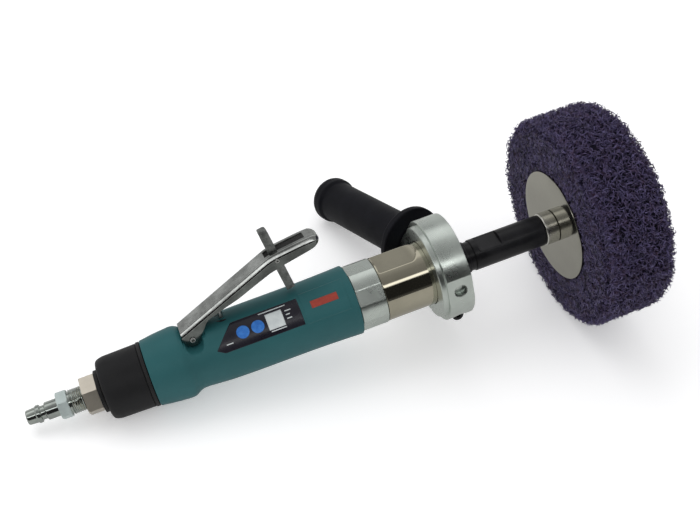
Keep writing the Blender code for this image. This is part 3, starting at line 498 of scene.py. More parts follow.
def build_finishes(colours):
    """Every finish of the tool, by name."""
    for group in (patchy_colour_group, turned_lines_group, wear_range_group, surface_grain_group):
        group()
    body = tuple(colours.body)
    rubber = tuple(colours.rubber)
    web = tuple(colours.web)
    nickel = tuple(colours.nickel)
    alloy = tuple(colours.alloy)

    def shade(colour, factor):
        """A colour made lighter or darker by a factor."""
        return tuple(channel * factor for channel in colour)

    surface("body_composite", body, shade(body, 1.12), (0.40, 0.52), 0.0, patch=25, specks=0.15,
            grain=1, grain_scale=1400, bump=0.12)
    surface("cap_plastic", (0.009, 0.009, 0.010), (0.014, 0.014, 0.015), (0.45, 0.58), 0.0,
            patch=30, grain=1, grain_scale=1300, bump=0.18, specular=0.18)
    surface("handle_rubber", rubber, shade(rubber, 1.7), (0.42, 0.58), 0.0, patch=50, specks=0.3,
            grain=1, grain_scale=1700, cells=0.6, bump=0.2, specular=0.14)
    surface("seal_rubber", (0.012, 0.012, 0.013), (0.020, 0.020, 0.020), (0.5, 0.65), 0.0,
            grain=1, grain_scale=2500, bump=0.1)
    surface("nickel_plate", nickel, shade(nickel, 0.86), (0.04, 0.09), 1.0, patch=35, specks=0.1,
            lines=2600, bump=0.03)
    surface("inlet_nickel", (0.72, 0.665, 0.57), (0.62, 0.57, 0.49), (0.28, 0.38), 1.0, patch=60,
            grain=1, grain_scale=700, bump=0.03)
    surface("collar_steel", (0.66, 0.65, 0.60), (0.56, 0.55, 0.51), (0.20, 0.30), 1.0, patch=60,
            lines=2600, bump=0.08)
    surface("zinc_plate", (0.52, 0.56, 0.52), (0.38, 0.41, 0.39), (0.07, 0.16), 1.0, patch=90,
            lines=3500, bump=0.12)
    surface("satin_zinc", (0.62, 0.70, 0.69), (0.52, 0.59, 0.58), (0.42, 0.55), 0.6, patch=90,
            grain=1, grain_scale=2600, bump=0.15)
    surface("bright_alloy", alloy, shade(alloy, 0.86), (0.24, 0.34), 1.0, patch=45, specks=0.1,
            lines=2200, bump=0.10, anisotropic=0.3)
    surface("bright_chrome", (0.47, 0.485, 0.47), (0.24, 0.248, 0.24), (0.09, 0.20), 1.0, patch=70,
            specks=0.25, grain=1, grain_scale=500, bump=0.05)
    # painted shade: the lever's cheeks take a darker copy of the same chrome as its top
    surface("shaded_cheek_chrome", (0.20, 0.215, 0.205), (0.10, 0.108, 0.103), (0.12, 0.26), 1.0, patch=70,
            specks=0.25, grain=1, grain_scale=500, bump=0.05)
    surface("polished_flange", (0.40, 0.39, 0.335), (0.34, 0.33, 0.285), (0.06, 0.14), 1.0, patch=14,
            specks=0.05, lines=1500, bump=0.012)
    surface("black_oxide", (0.006, 0.006, 0.007), (0.013, 0.013, 0.015), (0.26, 0.38), 0.0,
            patch=60, specks=0.4, lines=3000, bump=0.15)
    # painted shade: the inside of the lever's channel is a dark copy of its chrome
    surface("shaded_lever_inside", (0.10, 0.10, 0.10), (0.06, 0.06, 0.06), (0.35, 0.55), 0.8, grain=1)
    surface("lock_steel", (0.11, 0.118, 0.114), (0.26, 0.27, 0.26), (0.34, 0.55), 0.9, patch=250,
            speck=1800, specks=0.7, grain=1, grain_scale=1300, bump=0.5)
    surface("web_fibre", shade(web, 0.42), shade(web, 2.1), (0.35, 0.6), 0.0, patch=330, speck=1100,
            specks=0.8, specular=0.5, accent=(0.040, 0.010, 0.030))
    # painted shade: the wheel's inner mass is far darker than its strands, for the shade in the gaps
    # between them
    surface("shaded_web_core", shade(web, 0.10), shade(web, 0.30), (0.75, 0.9), 0.0, patch=400, grain=1,
            grain_scale=600, bump=0.8, depth=0.0006, specular=0.15)
    surface("label_film", (0.009, 0.008, 0.014), (0.016, 0.015, 0.022), (0.20, 0.30), 0.0, patch=60,
            specks=0.1, specular=0.4)
    surface("label_blue", (0.020, 0.125, 0.440), (0.045, 0.190, 0.560), (0.25, 0.35), 0.0, patch=300)
    surface("label_white", (0.62, 0.66, 0.66), (0.52, 0.56, 0.57), (0.35, 0.5), 0.0, patch=200)
    surface("accent_red", (0.36, 0.055, 0.035), (0.27, 0.04, 0.03), (0.35, 0.5), 0.0, patch=200)
    surface("ground_steel", (0.50, 0.50, 0.49), (0.38, 0.38, 0.37), (0.20, 0.35), 1.0, lines=3000)
    surface("thread_shadow", (0.30, 0.32, 0.30), (0.18, 0.19, 0.18), (0.25, 0.35), 1.0, lines=2000)
    surface("machined_brass", (0.70, 0.50, 0.22), (0.60, 0.42, 0.18), (0.22, 0.35), 1.0, lines=3000)
    surface("cloth_phenolic", (0.28, 0.15, 0.065), (0.20, 0.10, 0.045), (0.45, 0.6), 0.0, patch=600,
            grain=1, grain_scale=1800, bump=0.2)
    surface("open_felt", (0.52, 0.50, 0.45), (0.40, 0.38, 0.34), (0.85, 0.98), 0.0, patch=500,
            grain=1, grain_scale=900, bump=0.8, depth=0.0004)


def look(name):
    """A finish that has been built."""
    return FINISHES[name]


# ------------------------------------------------------------------ wheel and spindle
def wheel_outline():
    """The wheel's outer outline from its rear flange's edge over the rim to its front bore edge."""
    rear = (FLANGE_FACE - WHEEL_LOW[0]) * 1000
    front = (FLANGE_FACE - WHEEL_HIGH[0]) * 1000
    rim = WHEEL_HIGH[2] * 1000 - 1.2
    return [(rear - 0.5, 40.7, 0), (rear - 0.5, rim, 5.0), (front + 0.5, rim, 9.5),
            (front + 0.5, 13.2, 0)]


def shaded_web_core():
    """The wheel's inner mass: its outline shrunk by an inset, turned about X, closed at the bore.

    The radius gains smooth noise, which fades out towards the flanges. Its finish is far darker than the
    strands', painted shade for the gaps between them.
    """
    rear, _, _ = wheel_outline()[0]
    front, _, _ = wheel_outline()[-1]
    rim = WHEEL_HIGH[2] * 1000 - 5.0
    inset = 3.0
    corners = [(rear - inset, 13.2, 0), (rear - inset, rim, 8.0), (front + inset, rim, 9.0),
               (front + inset, 13.2, 0)]
    outline = rounded(corners, True)
    spacing = 1.5
    columns = 300
    bumps = even_noise(len(refined(outline, spacing, True)), columns, 3, 4)

    def rough(station, turn, radius):
        """The radius with bumps of up to 2.2 mm, none inside 38 mm."""
        return radius + bumps * 2.2 * step_up(radius, 38.0, 60.0)

    return turned("wheel_core", None, look("shaded_web_core"), columns, True, spacing, rough, sharp=80.0,
                  curve=outline)


def fibre_tufts(name, spots, outward, sizes, seed):
    """Short bent three-sided strands laid over a surface, each one a closed sliver.

    A strand's middle line has three points: its centre pushed a little outwards, and its two
    ends half a length away along a random direction that lies mostly in the surface.
    """
    random = np.random.default_rng(seed)
    count = len(spots)
    wander = random.normal(size=(count, 3))
    lift = (wander * outward).sum(axis=1, keepdims=True)
    along = wander - outward * lift * 0.2
    along /= np.linalg.norm(along, axis=1, keepdims=True)
    length = sizes.fibre_length * random.uniform(0.55, 1.35, (count, 1))
    bend = random.normal(size=(count, 3)) * length * 0.16
    middle = spots + bend
    line = np.stack((spots - along * length / 2, middle, spots + along * length / 2), axis=1)
    side = np.cross(along, outward + random.normal(size=(count, 3)) * 0.4)
    side /= np.linalg.norm(side, axis=1, keepdims=True)
    other = np.cross(along, side)
    width = sizes.fibre_width * random.uniform(0.7, 1.4, (count, 1, 1, 1)) / 2
    taper = np.array((0.55, 1.0, 0.55))[None, :, None, None]
    turn = np.radians((90, 210, 330))[None, None, :, None]
    ring = np.cos(turn) * side[:, None, None, :] + np.sin(turn) * other[:, None, None, :]
    points = line[:, :, None, :] + ring * width * taper
    limit = WHEEL_HIGH[2] - 0.0001
    distance = np.linalg.norm(points[..., 1:], axis=-1, keepdims=True)
    points[..., 1:] *= np.minimum(1.0, limit / distance)
    points[..., 0] = np.clip(points[..., 0], WHEEL_LOW[0] + 0.0001, WHEEL_HIGH[0] - 0.0001)
    quads = []
    for level in (0, 3):
        for corner in range(3):
            after = (corner + 1) % 3
            quads.append((level + corner, level + after, level + 3 + after, level + 3 + corner))
    triangles = np.array([(a, b, c) for a, b, c, _ in quads] + [(a, c, d) for a, _, c, d in quads]
                         + [(0, 2, 1), (6, 7, 8)])
    faces = (np.arange(count)[:, None, None] * 9 + triangles[None, :, :]).reshape(-1, 3)
    return mesh_piece(name, points, faces, look("web_fibre"), 180.0, weld=False)


def rim_spots(count, seed):
    """Random places over the wheel's rim and rounded shoulders, with their outward directions."""
    random = np.random.default_rng(seed)
    profile = refined(rounded(wheel_outline(), False), 0.8, False)
    keep = profile[:, 1] > 66.0
    return spread_over(profile[keep], count, random)


def face_spots(count, front, seed):
    """Random places over one flat side of the wheel, outside its flange."""
    random = np.random.default_rng(seed)
    profile = refined(rounded(wheel_outline(), False), 0.8, False)
    middle = profile[:, 0].mean()
    near = profile[:, 0] < middle if front else profile[:, 0] > middle
    keep = near & (profile[:, 1] > 38.0) & (profile[:, 1] < 68.0)
    return spread_over(profile[keep], count, random)


def spread_over(profile, count, random):
    """Random places on a surface of revolution, as likely as the area they stand for.

    A place slides along its profile run, turns round X, and sinks up to 4.6 mm below the skin.
    """
    middle = (profile[1:] + profile[:-1]) / 2
    run = profile[1:] - profile[:-1]
    area = np.linalg.norm(run, axis=1) * middle[:, 1]
    pick = random.choice(len(middle), size=count, p=area / area.sum())
    share = random.uniform(-0.5, 0.5, (count, 1))
    spot = middle[pick] + run[pick] * share
    turn = random.uniform(0, 2 * np.pi, count)
    across_run = np.stack((-run[pick][:, 1], run[pick][:, 0]), axis=1)
    across_run /= np.linalg.norm(across_run, axis=1, keepdims=True)
    centre = profile.mean(axis=0) * (1.0, 0.9)
    flip = np.sign(((spot - centre) * across_run).sum(axis=1, keepdims=True))
    across_run *= flip
    depth = random.uniform(0.0, 1.0, (count, 1)) ** 0.8 * 4.6
    spot = spot - across_run * depth
    places = placed(spot[:, 0], spot[:, 1], turn)
    outward = np.stack((-across_run[:, 0], across_run[:, 1] * np.sin(turn),
                        across_run[:, 1] * np.cos(turn)), axis=1)
    return places, outward


def build_wheel(sizes):
    """The wheel: a rough core, and strands over its rim and both sides."""
    core = own(shaded_web_core(), "spindle", "fibre_web", "grinding_wheel")
    share = sizes.fibre_density
    sets = (
        ("wheel_rim_fibres_a", rim_spots(int(10500 * share), 11), 21),
        ("wheel_rim_fibres_b", rim_spots(int(10500 * share), 12), 22),
        ("wheel_rear_fibres", face_spots(int(10500 * share), False, 13), 23),
        ("wheel_front_fibres", face_spots(int(8500 * share), True, 14), 24),
    )
    for name, (spots, outward), seed in sets:
        own(fibre_tufts(name, spots, outward, sizes, seed), "spindle", "fibre_web")
    return core


def build_flanges():
    """The two clamping flanges, the wheel's bushing, the collar, the washer and the nut."""
    rear = [(-3.0, 8.3, 0), (-3.0, 40.0, 0.4), (0.0, 40.0, 0.5), (0.0, 8.3, 0)]
    own(turned("rear_flange_disc", rear, look("polished_flange"), 256), "spindle", "polished_steel",
        "rear_flange")
    front = [(-55.6, 8.3, 0), (-55.6, 40.0, 0.6), (-52.6, 40.0, 0.3), (-52.6, 8.3, 0)]
    own(turned("front_flange_disc", front, look("polished_flange"), 256), "spindle",
        "polished_steel", "front_flange")
    bushing = [(-52.2, 8.4, 0), (-52.2, 12.7, 0.3), (-3.4, 12.7, 0.3), (-3.4, 8.4, 0)]
    own(turned("bushing_sleeve", bushing, look("cap_plastic"), 96), "spindle", "cap_plastic",
        "wheel_bushing")
    collar = [(0.35, 8.4, 0), (0.35, 11.6, 0.25), (9.0, 11.6, 0.3), (9.6, 11.0, 0.2), (9.6, 8.4, 0)]
    own(turned("collar_sleeve", collar, look("collar_steel"), 192), "spindle", "nickel_plate",
        "shaft_collar")
    washer = [(-58.15, 8.4, 0), (-58.15, 11.95, 0.3), (-56.0, 11.95, 0.3), (-56.0, 8.4, 0)]
    own(turned("lock_washer_ring", washer, look("ground_steel"), 96), "spindle", "tool_steel",
        "lock_washer")

    def nut_shape(station, turn, radius):
        """Six flats 11.95 mm from the axis, with the corners cut back to a cone at both ends."""
        corner = 13.4 - 0.9 * step_up(np.abs(station + 61.75), 2.2, 3.3)
        return np.where(radius > 9.5, hexagon_cut(np.minimum(radius, corner), turn, 11.95, np.pi / 2),
                        radius)

    nut = [(-65.0, 8.4, 0), (-65.0, 13.8, 0), (-58.5, 13.8, 0), (-58.5, 8.4, 0)]
    own(turned("nut_hexagon", nut, look("zinc_plate"), 288, True, 0.5, nut_shape), "spindle",
        "zinc_plate", "spindle_nut")


def build_shaft():
    """The black drive spindle with its wrench flats and its threaded front end."""
    lean = -np.radians(15.0)

    def shaft_shape(station, turn, radius):
        """Two wrench flats, and a saw-tooth thread of 1.5 mm pitch on the front end."""
        band = step_up(station, 42.9, 43.1) * (1 - step_up(station, 58.9, 59.1))
        cut = plane_cut(plane_cut(radius, turn, lean, 8.5, 0.05), turn, lean + np.pi, 8.5, 0.05)
        thread = 0.22 * np.abs(((station / 1.5 + turn / (2 * np.pi)) % 1.0) * 2 - 1)
        threaded = (station < -52.5) & (radius > 6.5) & (station > -66.6)
        radius = np.where(threaded, radius - thread, radius)
        return radius + (cut - radius) * band

    shaft = [
        (-67.0, 0, 0), (-67.0, 7.2, 0), (-66.2, 7.95, 0), (9.9, 7.95, 0), (9.9, 10.6, 0),
        (10.4, 11.05, 0.2), (63.2, 11.05, 0.3), (63.8, 10.3, 0), (66.9, 10.3, 0), (67.4, 11.1, 0.2),
        (84.9, 11.1, 0), (84.9, 9.9, 0), (112.2, 9.9, 0), (112.2, 15.7, 0.4), (118.0, 15.7, 0),
        (118.0, 0, 0),
    ]
    own(turned("spindle_shaft", shaft, look("black_oxide"), 192, False, 0.6, shaft_shape), "spindle",
        "black_oxide", "drive_spindle")


# ------------------------------------------------------------------ gear case and handle
def build_gear_case():
    """The plated gear case with its wrench flats, and the clamp nut behind it."""
    def flats(station, turn, radius):
        """Two flats above and below, with an arc where they run out in front."""
        run_out = 8.0 - np.sqrt(np.maximum(64.0 - np.clip(109.5 - station, 0, 7.0) ** 2, 0.0))
        rear_edge = 3.2 * step_up(station, 132.2, 132.6)
        distance = 19.5 + run_out + rear_edge
        cut = plane_cut(plane_cut(radius, turn, 0.0, distance, 0.08), turn, np.pi, distance, 0.08)
        return np.where(radius > 20.5, cut, radius)

    case = [
        (79.0, 16.1, 0), (79.0, 22.45, 0.4), (133.9, 22.45, 0.4), (133.9, 19.3, 0),
        (162.9, 19.3, 0), (162.9, 17.6, 0), (112.0, 17.6, 0), (112.0, 16.1, 0),
    ]
    own(turned("gear_case_shell", case, look("nickel_plate"), 256, True, 0.75, flats), "tool_body",
        "nickel_plate", "gear_housing")
    nose = [(79.4, 11.8, 0), (79.4, 15.7, 0.3), (85.8, 15.7, 0), (85.8, 11.8, 0)]
    own(turned("nose_plate", nose, look("black_oxide"), 128), "tool_body", "black_oxide",
        "nose_retainer")

    def nut_flats(station, turn, radius):
        """Six flats 22.2 mm from the axis, one facing up."""
        return np.where(radius > 21, hexagon_cut(radius, turn, 22.2, 0.0), radius)

    nut = [(134.35, 19.7, 0), (134.35, 22.95, 0.5), (152.6, 22.95, 0.5), (152.6, 19.7, 0)]
    own(turned("clamp_nut_sleeve", nut, look("bright_alloy"), 360, True, 1.0, nut_flats, sharp=20.0),
        "tool_body", "bright_alloy", "clamp_nut")


def dense_angles(centres, half, fine, coarse):
    """Angles round the axis, close together near given directions and wide apart elsewhere."""
    even = np.arange(0.0, 2 * np.pi, coarse)
    close = [np.arange(centre - half, centre + half, fine) % (2 * np.pi) for centre in centres]
    merged = np.sort(np.concatenate([even] + close))
    keep = np.concatenate(([True], np.diff(merged) > fine * 0.4))
    return merged[keep]


def build_handle_ring():
    """The split clamp ring with its near flat, free threaded hole, screw seat and far boss."""
    level = 29.6

    def cuts(station, turn, radius):
        """The near flat, the round pocket of the screw's head, the free hole and the split below."""
        y = np.sin(turn)
        z = np.cos(turn)
        cut = plane_cut(radius, turn, NEAR_SIDE, 34.6, 0.1)
        half = np.sqrt(np.maximum(27.0 - (station - RING_STATION) ** 2, 0.0))
        enter_z = (level - half) / np.maximum(-z, 0.05)
        enter_y = 14.5 / np.maximum(-y, 0.05)
        seat = np.where((half > 0.3) & (z < -0.3) & (y < -0.2), np.maximum(enter_z, enter_y), 1e3)
        cut = np.minimum(cut, np.where(radius > 30, seat, 1e3))
        hole = np.hypot(station - RING_STATION, radius * z)
        cut = np.where((y < -0.9) & (radius > 30) & (hole < 4.5), 30.5, cut)
        split = (z < 0) & (np.abs(y) < 0.023)
        return np.where(split & (radius > 25), 23.0, np.where(radius > 25, cut, radius))

    ring = [
        (77.5, 22.85, 0.3), (77.5, 36.0, 0.7), (95.5, 36.0, 0.7), (95.5, 33.0, 0.2),
        (99.0, 32.4, 0.8), (99.0, 22.85, 0.3),
    ]
    angles = dense_angles((NEAR_SIDE, 1.15 * np.pi), 0.36, 0.008, 0.03)
    ring_piece = turned("ring_body", ring, look("bright_alloy"), 0, True, 0.35, cuts, angles)
    own(ring_piece, "tool_body", "bright_alloy", "handle_ring")
    build_free_hole()
    boss = [(-42.7, 0, 0), (-42.7, 12.4, 0.6), (-26.0, 12.4, 0), (-26.0, 0, 0)]
    own(turned("ring_boss", boss, look("bright_alloy"), 128, False, 3.0, place=handle_matrix()),
        "tool_body", "bright_alloy")
    head = [(-12.0, 0, 0), (-12.0, 2.5, 0), (14.9, 2.5, 0), (14.9, 4.2, 0.2), (19.9, 4.2, 0.5),
            (19.9, 2.2, 0.15), (17.0, 2.2, 0), (17.0, 0, 0)]

    def socket(station, turn, radius):
        """A hexagon socket in the head's end, and 32 knurls round the head."""
        inside = (station > 16.0) & (radius > 1.0) & (radius < 2.4)
        knurl = (station > 15.2) & (radius > 4.0)
        radius = np.where(inside, hexagon_cut(radius, turn, 1.95, 0.0), radius)
        return np.where(knurl, radius - 0.14 * (0.5 + 0.5 * np.cos(turn * 32)), radius)

    own(turned("ring_socket_screw", head, look("black_oxide"), 256, False, 0.8, socket,
               place=across(RING_STATION, -level)), "tool_body", "black_oxide", "ring_screw")


def build_free_hole():
    """The free hole's wall: a chamfered bore with a screw thread running down it."""
    def thread(station, turn, radius):
        """A saw-tooth groove 0.35 mm deep with a pitch of 1.25 mm."""
        groove = 0.35 * np.abs(((station / 1.25 + turn / (2 * np.pi)) % 1.0) * 2 - 1)
        return np.where((radius < 4.2) & (station < 34.0), radius + groove, radius)

    wall = [(34.3, 5.0, 0), (34.58, 4.75, 0), (33.9, 4.0, 0), (24.2, 4.0, 0), (24.2, 5.0, 0)]
    own(turned("free_hole_thread", wall, look("thread_shadow"), 96, True, 0.25, thread,
               place=across(RING_STATION, 0.0)), "tool_body", "bright_alloy")


def handle_matrix():
    """A matrix that turns a piece onto the side handle's axis, its stations pointing inwards."""
    way = Vector((-np.sin(HANDLE_LEAN), np.cos(HANDLE_LEAN), 0.0))
    side = Vector((0.0, 0.0, 1.0)).cross(way)
    turn = Matrix((way, side, Vector((0.0, 0.0, 1.0)))).transposed().to_4x4()
    return Matrix.Translation((FLANGE_FACE - HANDLE_STATION / 1000, 0.0, 0.0)) @ turn


def build_side_handle():
    """The rubber side handle: a guard disc, a straight grip and a beaded, domed end."""
    handle = [
        (-43.25, 0, 0), (-43.25, 25.5, 1.2), (-48.7, 25.5, 1.4), (-48.7, 17.6, 0), (-50.8, 15.75, 1.4),
        (-137.9, 15.75, 0.8), (-139.6, 17.5, 0.9), (-146.4, 17.5, 2.0), (-150.2, 15.4, 1.6),
        (-151.95, 11.0, 2.2), (-151.95, 0, 0),
    ]

    def ribs(station, turn, radius):
        """One shallow groove round the bead at the grip's end."""
        ring = np.exp(-((np.abs(station + 143.2) / 0.35) ** 2)) * 0.25
        return np.where(radius > 14.0, radius - ring, radius)

    own(turned("handle_grip", handle, look("handle_rubber"), 256, False, 0.8, ribs,
               place=handle_matrix()), "tool_body", "black_rubber", "side_handle")


# ------------------------------------------------------------------ body and inlet
def build_body():
    """The composite body: a swelling turned shell with lever pockets and a raised panel."""
    front = [(153.0, 23.6), (153.5, 24.25), (156.0, 24.25), (165.0, 23.9), (178.0, 23.5), (190.0, 23.3),
             (208.0, 23.2), (227.0, 23.1), (240.0, 22.85), (247.0, 22.6), (255.0, 22.0), (261.0, 21.55),
             (264.5, 21.5), (267.2, 22.1), (269.5, 23.3), (271.8, 24.35), (274.5, 24.65), (278.0, 24.4),
             (283.0, 24.0), (288.0, 23.4), (292.0, 22.8), (294.6, 22.5), (295.0, 22.0)]
    curve = smooth_curve(front, 330)
    fine = np.concatenate((
        np.linspace(153.0, 157.0, 10), np.arange(157.6, 161.0, 0.3), np.arange(163.0, 186.0, 2.0),
        np.arange(187.0, 190.4, 0.3), np.arange(192.0, 244.0, 2.0), np.arange(245.0, 270.5, 0.3),
        np.linspace(270.8, 295.0, 40),
    ))
    outer = np.stack((fine, np.interp(fine, curve[:, 0], curve[:, 1])), axis=1)
    inner = np.array(((295.0, 9.9), (280.5, 9.9), (280.5, 6.0), (246.0, 6.0), (231.0, 6.0),
                      (231.0, 19.5), (153.0, 19.5)))
    profile = np.vstack((outer, inner))
    pivot, height = PIVOT_MM

    def details(station, turn, radius):
        """Pockets for the lever's ears on both sides of the top, and a panel raised by 0.5 mm.

        A pocket keeps the wall more than 6.45 mm from the middle plane above a floor that is
        round under the pivot and ramps up in front of it.
        """
        y = np.abs(np.sin(turn))
        z = np.cos(turn)
        offset = pivot - station
        bowl = height - np.sqrt(np.maximum(36.0 - offset ** 2, 0.0))
        ramp = np.where(offset > 8.5, height + 1.0 + (offset - 8.5) * 2.7,
                        height + np.maximum(offset - 6, 0) * 0.4)
        floor = np.where(np.abs(offset) < 6.0, bowl, ramp)
        inside = (offset > -7.1) & (offset < 16.0)
        reach = np.maximum(6.45 / np.maximum(y, 0.02), floor / np.maximum(z, 0.05))
        pocket = np.where(inside & (z > 0.05), reach, 1e3)
        cut = soft_min(radius, pocket, 0.5)
        tool_angle = np.degrees(turn - NEAR_SIDE)
        along = step_up(station, 157.9, 158.9) * (1 - step_up(station, 188.2, 189.2))
        round_way = step_up(tool_angle, 20.5, 23.0) * (1 - step_up(tool_angle, 73.0, 75.5))
        raised = cut + 0.5 * along * round_way
        return np.where(radius > 20.5, raised, radius)

    panel_edges = (0.0, NEAR_SIDE + np.radians(22), NEAR_SIDE + np.radians(74))
    angles = dense_angles(panel_edges, 0.16, 0.010, 0.028)
    top = dense_angles((0.42, 2 * np.pi - 0.42), 0.36, 0.010, 0.028)
    both = np.sort(np.concatenate((angles, top)))
    both = both[np.concatenate(([True], np.diff(both) > 0.004))]
    body = turned("body_shell", None, look("body_composite"), 0, True, 50.0, details, both,
                  curve=profile, sharp=40.0)
    own(body, "tool_body", "body_composite", "motor_housing")
    return curve


def patch(name, curve, finish, left, right, low, high, rise, body_slot, rows=60, columns=40):
    """A thin film on the body: stations and angles over a rectangle, lifted off the shell.

    Angles are degrees above the near side. left may be a function of the share of the angle,
    which slants that end of the film.
    """
    share = np.linspace(0.0, 1.0, columns)
    angle = np.radians(low + (high - low) * share) + NEAR_SIDE
    near = left(share) if callable(left) else np.full(columns, left)
    along = np.linspace(0.0, 1.0, rows)[:, None]
    station = near[None, :] + (right - near[None, :]) * along
    return film(name, curve, finish, station, np.repeat(angle[None, :], rows, axis=0), rise, body_slot)


def film(name, curve, finish, station, turn, rise, body_slot):
    """A grid of stations and angles laid on the body and given a little thickness."""
    radius = np.interp(station, curve[:, 0], curve[:, 1]) + rise
    points = placed(station, radius, turn)
    rows, columns = station.shape
    faces = grid_faces(rows, columns, False, False)
    first = points.reshape(-1, 3)[faces[0]]
    normal = np.cross(first[1] - first[0], first[2] - first[0])
    outward = first[0] * (0, 1, 1)
    if normal @ outward < 0:
        faces = faces[:, ::-1]
    piece = mesh_piece(name, points, faces, finish, 60.0, weld=False)
    wall = piece.modifiers.new("Film thickness", "SOLIDIFY")
    wall.thickness = FILM_THICKNESS
    wall.offset = -1.0
    return own(piece, "tool_body", body_slot)


def disc_film(name, curve, finish, station, angle, size, rise, slot):
    """A round film: rings of growing radius about a point on the body."""
    ring = np.linspace(0.02, 1.0, 8)[:, None] * size
    way = np.linspace(0, 2 * np.pi, 49)[None, :]
    along = station + ring * np.cos(way)
    turn = np.radians(angle) + NEAR_SIDE + ring * np.sin(way) / 23.3
    return film(name, curve, finish, along, turn, rise, slot)


def build_marks(curve):
    """Plain films in place of the label and badge: a dark film, two blue discs, pale blocks, a bar."""
    def slanted(share):
        """The label's rear end: a long slant above its corner and a short one below."""
        above = np.maximum(0.0, share - 0.16) / 0.84
        below = np.maximum(0.0, 0.16 - share) / 0.16
        return 250.0 - 14.0 * above - 5.0 * below

    patch("label_film", curve, look("label_film"), slanted, 190.6, 23.0, 69.0, 0.10, "cap_plastic")
    for name, station in (("label_disc_rear", 230.4), ("label_disc_front", 220.2)):
        disc_film(name, curve, look("label_blue"), station, 46.0, 4.3, 0.17, "body_composite")
    patch("label_panel", curve, look("label_white"), 213.8, 202.6, 33.0, 60.0, 0.17, "bright_alloy",
          12, 12)
    for index, (left, right, low) in enumerate(
        ((200.6, 196.4, 54.0), (200.6, 197.8, 47.5), (200.6, 197.2, 41.0), (217.5, 199.0, 64.0),
         (213.0, 202.5, 29.4), (243.0, 238.4, 34.0))
    ):
        patch(f"label_bar_{index + 1}", curve, look("label_white"), left, right, low, low + 1.6, 0.17,
              "bright_alloy", 8, 4)
    patch("badge_bar", curve, look("accent_red"), 183.0, 164.5, 43.0, 55.0, 0.60, "body_composite",
          24, 10)


def build_cap():
    """The exhaust cap with its vents, and the lip between cap and body.

    A vent is a pit 3 mm deep: the end's points within 0.8 mm of its centre move in by all of
    that, and those beyond 1.5 mm stay.
    """
    corners = [
        (298.2, 18.5, 0), (298.2, 21.65, 0.3), (321.5, 21.15, 2.0), (326.1, 19.6, 2.6),
        (326.1, 9.9, 0.3), (321.5, 9.9, 0), (321.5, 18.5, 0),
    ]
    cap = turned("cap_shell", corners, look("cap_plastic"), 240, True, 0.5)
    mesh = cap.data
    points = np.empty(len(mesh.vertices) * 3, dtype=np.float32)
    mesh.vertices.foreach_get("co", points)
    points = points.reshape(-1, 3)
    station = (FLANGE_FACE - points[:, 0]) * 1000
    turn = np.arctan2(points[:, 1], points[:, 2])
    radius = np.hypot(points[:, 1], points[:, 2]) * 1000
    nearest = (np.round(turn / (np.pi / 4) - 0.5) + 0.5) * np.pi / 4
    distance = np.hypot(radius - 16.1, radius * (turn - nearest))
    pit = (1 - step_up(distance, 0.8, 1.5)) * (station > 325.8) * 3.0
    points[:, 0] += pit / 1000
    mesh.vertices.foreach_set("co", points.ravel())
    mesh.update()
    own(cap, "tool_body", "cap_plastic", "exhaust_cap")
    lip = [(295.5, 10.1, 0), (295.5, 22.15, 0.3), (297.8, 22.15, 0.4), (297.8, 21.2, 0),
           (298.15, 21.0, 0), (298.15, 18.9, 0), (297.7, 18.7, 0), (297.7, 10.1, 0)]
    own(turned("lip_seal", lip, look("seal_rubber"), 192), "tool_body", "black_rubber", "cap_gasket")


def build_inlet():
    """The inlet hexagon with its washer, and the threaded plug nipple."""
    flat_turn = INLET_TURN - np.pi / 6

    def bushing_shape(station, turn, radius):
        """Six flats 11.75 mm from the axis, their corners cut back to a cone at the rear."""
        cone = 13.0 + (339.0 - station) * 1.0
        outer = hexagon_cut(np.minimum(radius, np.minimum(13.55, cone)), turn, 11.75, flat_turn)
        return np.where((radius > 11) & (station > 329.2), outer, radius)

    bushing = [
        (281.0, 5.0, 0), (281.0, 9.4, 0.3), (329.4, 9.4, 0), (329.4, 14.0, 0), (339.0, 14.0, 0),
        (339.0, 8.8, 0.4), (330.6, 8.8, 0), (330.6, 5.0, 0),
    ]
    own(turned("inlet_hexagon", bushing, look("inlet_nickel"), 288, True, 0.6, bushing_shape,
               sharp=22.0), "tool_body", "nickel_plate", "inlet_bushing")
    washer = [(326.6, 9.9, 0), (326.6, 14.25, 0.4), (329.1, 14.25, 0.4), (329.1, 9.9, 0)]
    own(turned("inlet_washer_ring", washer, look("seal_rubber"), 160), "tool_body", "black_rubber",
        "inlet_washer")

    def plug_shape(station, turn, radius):
        """A saw-tooth thread of 1.34 mm pitch in front, then a hexagon with bevelled corners."""
        thread = 0.55 * np.abs(((station / 1.34 + turn / (2 * np.pi)) % 1.0) * 2 - 1)
        threaded = (station < 347.6) & (radius > 8.0)
        radius = np.where(threaded, radius - thread, radius)
        depth = np.minimum(station - 349.2, 356.0 - station)
        bevelled = np.minimum(radius, 8.9 + np.maximum(depth, 0) * 1.1)
        hexed = hexagon_cut(bevelled, turn, 8.45, flat_turn)
        return np.where((station > 349.1) & (radius > 8.5), hexed, radius)

    plug = [
        (331.2, 3.0, 0), (331.2, 8.3, 0), (347.8, 8.3, 0.2), (347.9, 7.3, 0), (349.2, 7.3, 0),
        (349.2, 9.65, 0), (356.0, 9.65, 0), (356.0, 5.95, 0.2), (364.3, 5.95, 0.5),
        (364.9, 4.6, 0.3), (367.5, 4.6, 0.3), (368.0, 5.95, 0.5), (370.2, 5.95, 0.5),
        (370.8, 5.25, 0.3), (376.3, 4.85, 0.5), (377.0, 4.4, 0.2), (377.0, 3.0, 0.1),
    ]
    piece = turned("plug_fitting", plug, look("zinc_plate"), 216, True, 0.26, plug_shape, sharp=30.0)
    piece.data.materials.append(look("satin_zinc"))
    mark_hexagon(piece, 349.3, 355.9, 7.6)
    own(piece, "tool_body", "zinc_plate", "plug_nipple")


